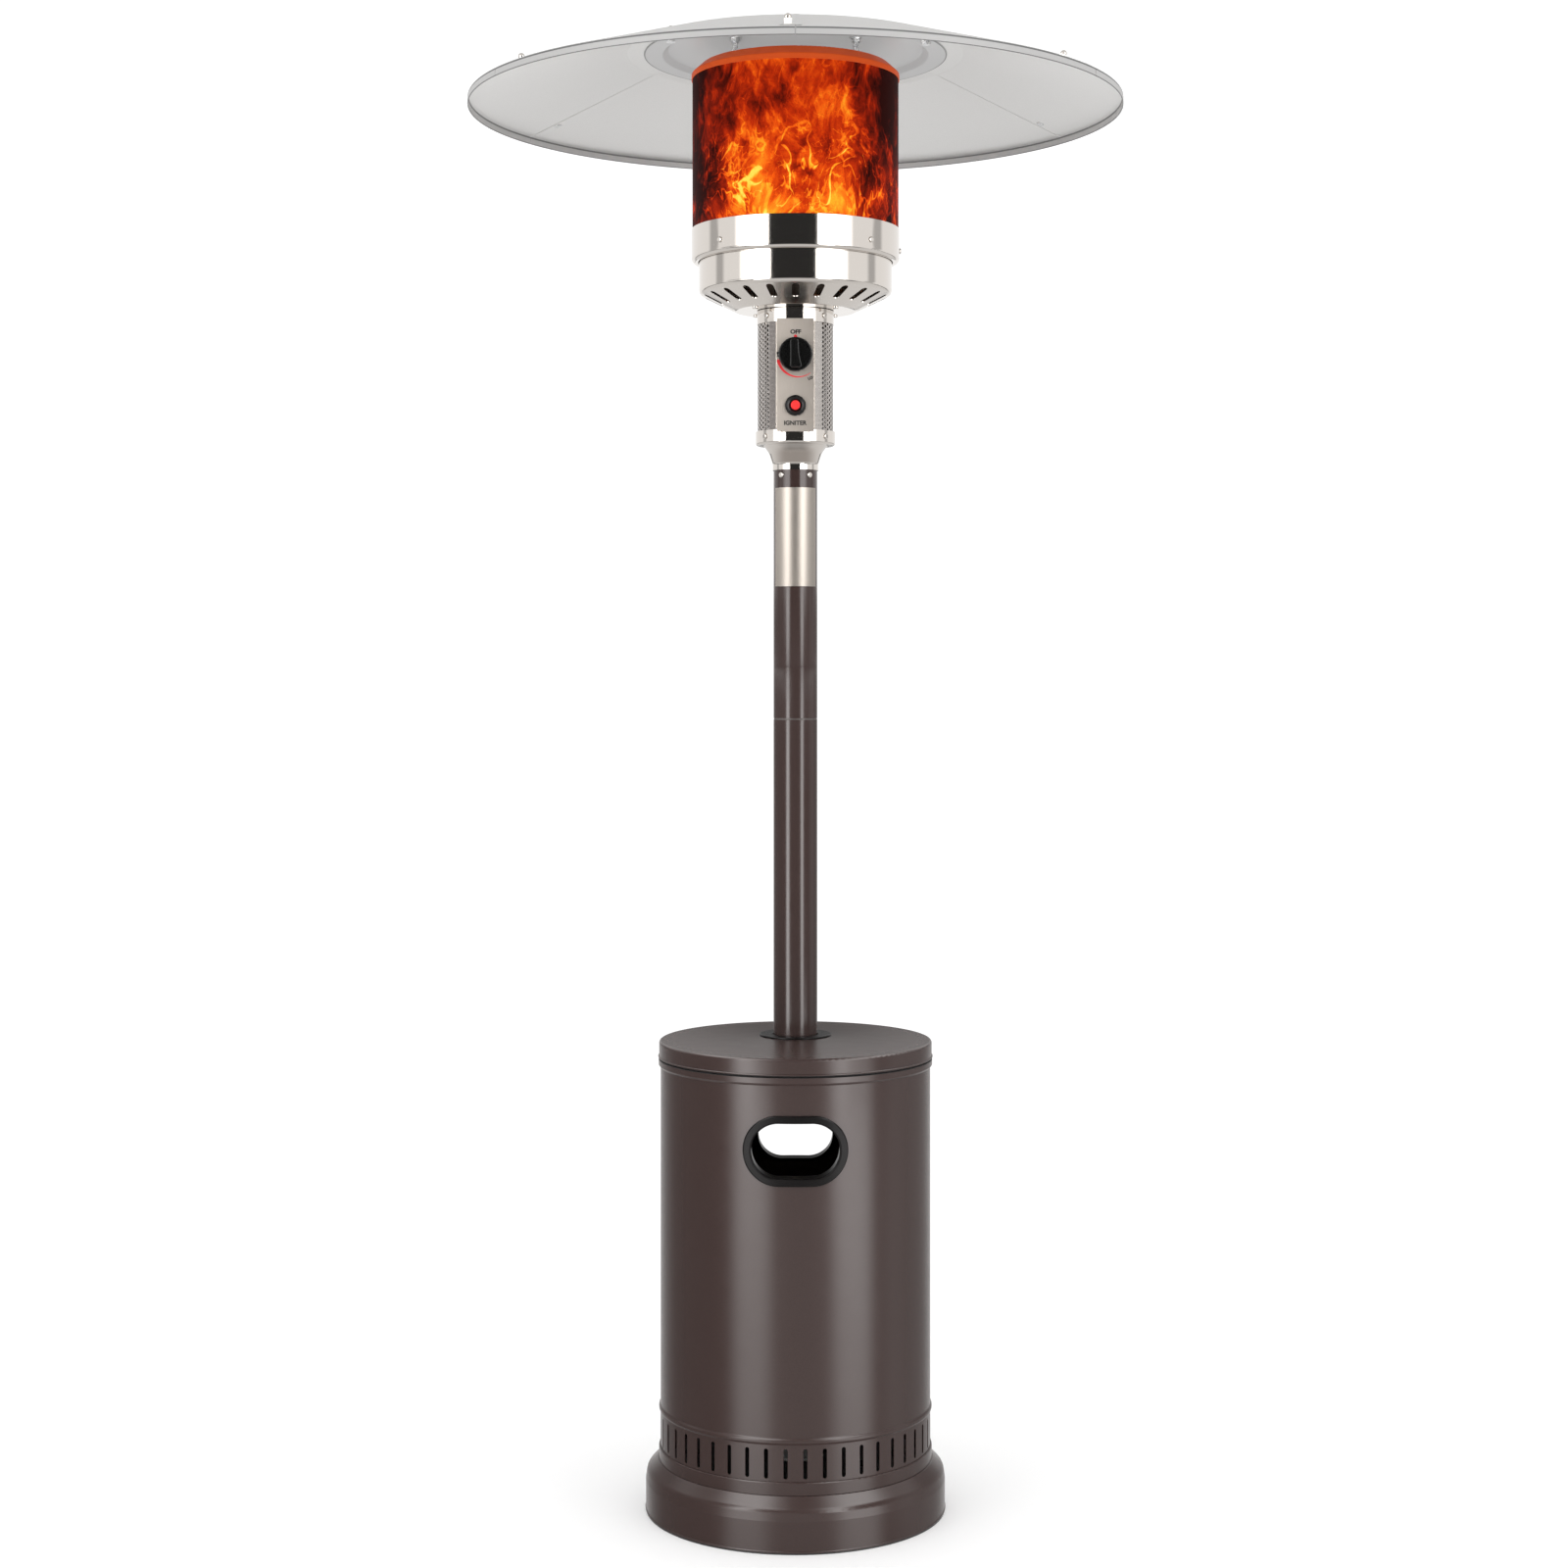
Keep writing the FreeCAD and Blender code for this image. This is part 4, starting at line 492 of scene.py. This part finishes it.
# the inward faces take the painted-shade finish
for face in sheet.data.polygons:
    outward = Vector((face.center.x, face.center.y, 0)).normalized()
    if face.normal.dot(outward) < -0.5:
        face.material_index = 1
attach(sheet, "frame")
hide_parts("control_mesh")

# lettering and marks of the control panel
plate_low, plate_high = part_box("control_panel")
face_y = plate_low.y
knob_low, knob_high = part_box("knob")
knob_z = (knob_low.z + knob_high.z) / 2
ink = 0.00012


def lettering(name, text, x, z, size, width, spin=0.0, bold=0.00018, material="print_black"):
    curve = bpy.data.curves.new(name, "FONT")
    curve.body = text
    curve.size = size
    curve.align_x = "CENTER"
    curve.align_y = "CENTER"
    curve.offset = bold
    curve.extrude = ink / 2
    curve.resolution_u = 6
    o = bpy.data.objects.new(name + "_curve", curve)
    scene.collection.objects.link(o)
    bpy.context.view_layer.update()
    mesh = bpy.data.meshes.new_from_object(o.evaluated_get(bpy.context.evaluated_depsgraph_get()))
    bpy.data.objects.remove(o)
    xs = [v.co.x for v in mesh.vertices]
    ys = [v.co.y for v in mesh.vertices]
    middle = Vector(((max(xs) + min(xs)) / 2, (max(ys) + min(ys)) / 2, 0))
    grow = width / (max(xs) - min(xs))
    tall = size / (max(ys) - min(ys))
    mesh.transform(Matrix.Translation(-middle))
    mesh.transform(Matrix.Diagonal((grow, tall, 1, 1)))
    mesh.transform(Matrix.Rotation(math.radians(spin), 4, "Z"))
    mesh.transform(Matrix.Rotation(math.radians(90), 4, "X"))
    mesh.transform(Matrix.Translation((x, face_y - ink / 2, z)))
    mesh.materials.clear()
    mesh.materials.append(made[material])
    o = bpy.data.objects.new(name, mesh)
    scene.collection.objects.link(o)
    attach(o, "frame")
    return o


lettering("print_off", "OFF", 0.0004, 1.7620, 0.0066, 0.0162, bold=0.00030)
lettering("print_igniter", "IGNITER", 0.0, 1.6265, 0.0067, 0.0338, bold=0.00026)
lettering("print_hi", "HI", -0.0264, knob_z + 0.0008, 0.0030, 0.0072, spin=90, bold=0.00022)
lettering("print_lo", "LO", 0.0222, knob_z - 0.0345, 0.0044, 0.0074, spin=22, bold=0.00024)


def flat_mark(name, outline, material):
    """A printed mark: an outline in the plane of the panel, with the ink's thickness."""
    n = len(outline)
    verts = [(x, face_y, z) for x, z in outline] + [(x, face_y - ink, z) for x, z in outline]
    faces = [list(range(n)), list(range(2 * n - 1, n - 1, -1))]
    faces += [[i, i + n, (i + 1) % n + n, (i + 1) % n] for i in range(n)]
    o = piece(name, verts, faces, material, "frame", smooth=False, slot="red_plastic")
    b = bmesh.new()
    b.from_mesh(o.data)
    bmesh.ops.recalc_face_normals(b, faces=b.faces)
    bmesh.ops.triangulate(b, faces=[f for f in b.faces if len(f.verts) > 4])
    b.to_mesh(o.data)
    b.free()
    return o


flat_mark("print_dot", [(0.0025 * math.cos(math.radians(a)), 1.7551 + 0.0025 * math.sin(math.radians(a)))
                        for a in range(0, 360, 15)], "print_red")
sweep = []
for i in range(49):
    t = i / 48
    a = math.radians(190 + t * 117)
    sweep.append((a, 0.0317, 0.0040 * (1 - t) ** 1.15 + 0.0007))
outer_line = [(0.0033 + r * math.cos(a), knob_z - 0.0019 + r * math.sin(a)) for a, r, w in sweep]
inner_line = [(0.0033 + (r - w) * math.cos(a), knob_z - 0.0019 + (r - w) * math.sin(a)) for a, r, w in reversed(sweep)]
flat_mark("print_arc", outer_line + inner_line, "print_red")

# --------------------------------------------------------- stage and lights

def stage_sheet(name, corners, material):
    mesh = bpy.data.meshes.new(name)
    mesh.from_pydata(corners, [], [list(range(len(corners)))])
    o = bpy.data.objects.new(name, mesh)
    scene.collection.objects.link(o)
    mesh.materials.append(material)
    return o


s = Shade("pale_floor")
s.set(colour=s.mix(s.noise(2.5, 2), (0.945, 0.945, 0.945), (0.96, 0.96, 0.96)), rough=0.8, specular=0.1,
      glow=(1.0, 1.0, 1.0), glow_strength=0.05)
ring = [(60 * math.cos(math.radians(a)), 60 * math.sin(math.radians(a)), 0) for a in range(0, 360, 6)]
ground = stage_sheet("floor", ring, s.mat)
ground.visible_glossy = False

# light tent, seen only in reflections: tall soft boxes left and right of a dark gap on the camera's side
s = Shade("tent")
x, y, z = s.add("ShaderNodeSeparateXYZ", {0: s.at}).outputs
turn = s.math("MULTIPLY", s.math("ARCTAN2", x, s.math("MULTIPLY", y, -1.0)), 180 / math.pi)
off = s.math("ABSOLUTE", turn)


def between(value, low, high, soft):
    """One inside the span, zero outside, with soft ends."""
    rise = s.span(value, low - soft, low + soft)
    fall = s.span(value, high - soft, high + soft, 1.0, 0.0)
    return s.math("MULTIPLY", rise, fall)


def total(base, *terms):
    for amount, mask in terms:
        base = s.math("MULTIPLY_ADD", mask, amount, base)
    return base


def slab(value, rise_from, rise_to, fall_from, fall_to):
    """Like between, with a slope of its own at each end."""
    return s.math("MULTIPLY", s.span(value, rise_from, rise_to), s.span(value, fall_from, fall_to, 1.0, 0.0))


high_wall = total(1.08, (-0.50, between(turn, -105, -92, 2.5)), (-0.50, between(turn, 93, 106, 2.5)),
                  (3.9, slab(turn, -68, -54, -29, -28)), (3.9, slab(turn, 23, 24, 50, 64)),
                  (-1.045, between(turn, -28.6, 23.6, 0.2)),
                  (0.34, between(turn, -27.5, -26.7, 0.12)), (0.34, between(turn, 21.8, 22.5, 0.12)))
behind = s.math("MULTIPLY", s.span(off, 106, 112), s.span(z, 2.3, 2.6))
high_wall = s.math("MULTIPLY_ADD", behind, -0.38, high_wall)
beside = s.math("MULTIPLY", between(turn, -84, -60, 3), between(z, 1.82, 2.01, 0.02))
high_wall = s.math("MULTIPLY_ADD", beside, s.math("SUBTRACT", 0.30, high_wall), high_wall)
mid_wall = total(0.30, (7.2, slab(turn, -51, -46, -35, -29)), (6.6, slab(turn, 25, 30, 39, 45)),
                 (-0.22, s.span(off, 160, 178)), (0.45, between(off, 150, 168, 8)), (0.35, between(turn, 78, 112, 8)))
low_lights = s.math("ADD", between(turn, -50, -21, 5), s.math("MULTIPLY", between(turn, 31, 63, 5), 1.15))
low_lights = s.math("MULTIPLY", low_lights, s.span(z, -0.9, 0.35, 0.78, 4.3))
body_part = s.span(z, -0.70, -0.50)
low_wall = total(0.22, (0.22, between(turn, -22, 30, 7)), (0.70, s.span(off, 120, 165)), (0.25, between(turn, 88, 125, 10)),
                 (0.30, s.math("MULTIPLY", body_part, between(turn, -22, 30, 7))),
                 (0.50, s.math("MULTIPLY", body_part, between(turn, 72, 94, 8))))
low_wall = s.math("ADD", low_wall, low_lights)
wall = s.math("MULTIPLY_ADD", s.math("SUBTRACT", mid_wall, low_wall), s.span(z, 0.40, 0.48), low_wall)
wall = s.math("MULTIPLY_ADD", s.math("SUBTRACT", high_wall, wall), s.span(z, 1.42, 1.45), wall)
lamps = s.math("ADD", slab(x, -1.00, -0.70, -0.42, -0.12), slab(x, 0.30, 0.62, 0.90, 1.25))
lamps = s.span(lamps, 0.0, 1.0, 0.32, 5.6, smooth=True)
lid = s.math("MULTIPLY_ADD", s.math("SUBTRACT", lamps, 1.0), s.span(y, -0.1, 0.4, 1.0, 0.0), 1.0)
ceiling = s.span(y, -1.6, 1.6, 0.92, 0.66)
wall = s.math("MULTIPLY_ADD", s.math("SUBTRACT", ceiling, wall), s.span(z, 2.72, 2.90), wall)
shine = s.math("MULTIPLY_ADD", s.math("SUBTRACT", ceiling, wall), s.span(z, 3.45, 3.46), wall)
shine = s.math("MULTIPLY_ADD", s.math("SUBTRACT", 0.74, shine), s.span(z, -1.46, -1.45, 1.0, 0.0), shine)
under = s.math("MULTIPLY", s.span(y, -0.5, 0.3, 0.80, 0.86), s.span(s.math("ABSOLUTE", x), 0.0, 0.5, 0.96, 1.0))
near_axis = s.math("MULTIPLY", s.span(y, 0.0, 0.2, 1.0, 0.0), s.span(s.math("ABSOLUTE", x), 0.10, 0.30, 1.0, 0.0))
near_axis = s.math("MULTIPLY", near_axis, s.span(y, -0.30, -0.15))
under = s.math("MULTIPLY_ADD", near_axis, -0.32, under)
above_mid = s.span(z, 1.26499, 1.26501)
sheet_up = s.math("MULTIPLY_ADD", s.math("SUBTRACT", under, lid), above_mid, lid)
across = s.math("ADD", s.math("MULTIPLY", x, x), s.math("MULTIPLY", y, y))
inside = s.span(across, 3.90, 3.91, 1.0, 0.0)
far = s.math("MULTIPLY", s.span(across, 1.0, 2.2), s.span(y, -0.4, -0.2, 1.0, 0.0))
sheet_up = s.math("MULTIPLY_ADD", s.math("SUBTRACT", mid_wall, sheet_up), far, sheet_up)
near_mid = between(z, 1.25, 1.28, 0.001)
shine = s.math("MULTIPLY_ADD", s.math("SUBTRACT", sheet_up, shine), s.math("MULTIPLY", inside, near_mid), shine)
s.set(colour=(0.0, 0.0, 0.0), rough=1.0, specular=0.0, glow=(1.0, 0.995, 0.99), glow_strength=shine)
s.mat.cycles.emission_sampling = "NONE"
steps = 120
rim_low = [(2.0 * math.sin(2 * math.pi * k / steps), -2.0 * math.cos(2 * math.pi * k / steps), -1.5) for k in range(steps)]
rim_high = [(x0, y0, 3.5) for x0, y0, _ in rim_low]
mesh = bpy.data.meshes.new("tent")
mesh.from_pydata(rim_low + rim_high, [], [[k, (k + 1) % steps, steps + (k + 1) % steps, steps + k] for k in range(steps)]
                 + [list(range(steps)), list(range(steps, 2 * steps))])
for height in (1.2645, 1.2655):
    build = bmesh.new()
    build.from_mesh(mesh)
    build.faces.new([build.verts.new((x0 * 0.985, y0 * 0.985, height)) for x0, y0, _ in rim_low])
    build.to_mesh(mesh)
    build.free()
mesh.materials.append(s.mat)
tent = bpy.data.objects.new("tent", mesh)
scene.collection.objects.link(tent)
for flag in ("visible_camera", "visible_diffuse", "visible_transmission", "visible_volume_scatter", "visible_shadow"):
    setattr(tent, flag, False)


def softbox(name, azimuth, distance, width, low, high, power, colour=(1, 1, 1)):
    """A tall flat light facing the object's axis. Azimuth is measured from the camera's side."""
    light = bpy.data.lights.new(name, "AREA")
    light.shape = "RECTANGLE"
    light.size = width
    light.size_y = high - low
    light.energy = power * math.pi * width * (high - low)
    light.color = colour
    o = bpy.data.objects.new(name, light)
    a = math.radians(azimuth)
    place = Vector((math.sin(a) * distance, -math.cos(a) * distance, (low + high) / 2))
    o.location = place
    o.rotation_euler = Vector((place.x, place.y, 0)).to_track_quat("Z", "Y").to_euler()
    scene.collection.objects.link(o)
    o.visible_camera = False
    o.visible_glossy = False
    return o


for name in ("emitter_screen", "emitter_cap"):
    nodes[name].visible_diffuse = False

softbox("soft_left", -42, 1.7, 0.92, 0.02, 2.9, 0.8)
softbox("soft_right", 42, 1.7, 0.92, 0.02, 2.9, 0.8)

world = bpy.data.worlds.new("studio")
scene.world = world
world.use_nodes = True
world.node_tree.nodes["Background"].inputs["Color"].default_value = (1.0, 1.0, 1.0, 1)
world.node_tree.nodes["Background"].inputs["Strength"].default_value = 1.12
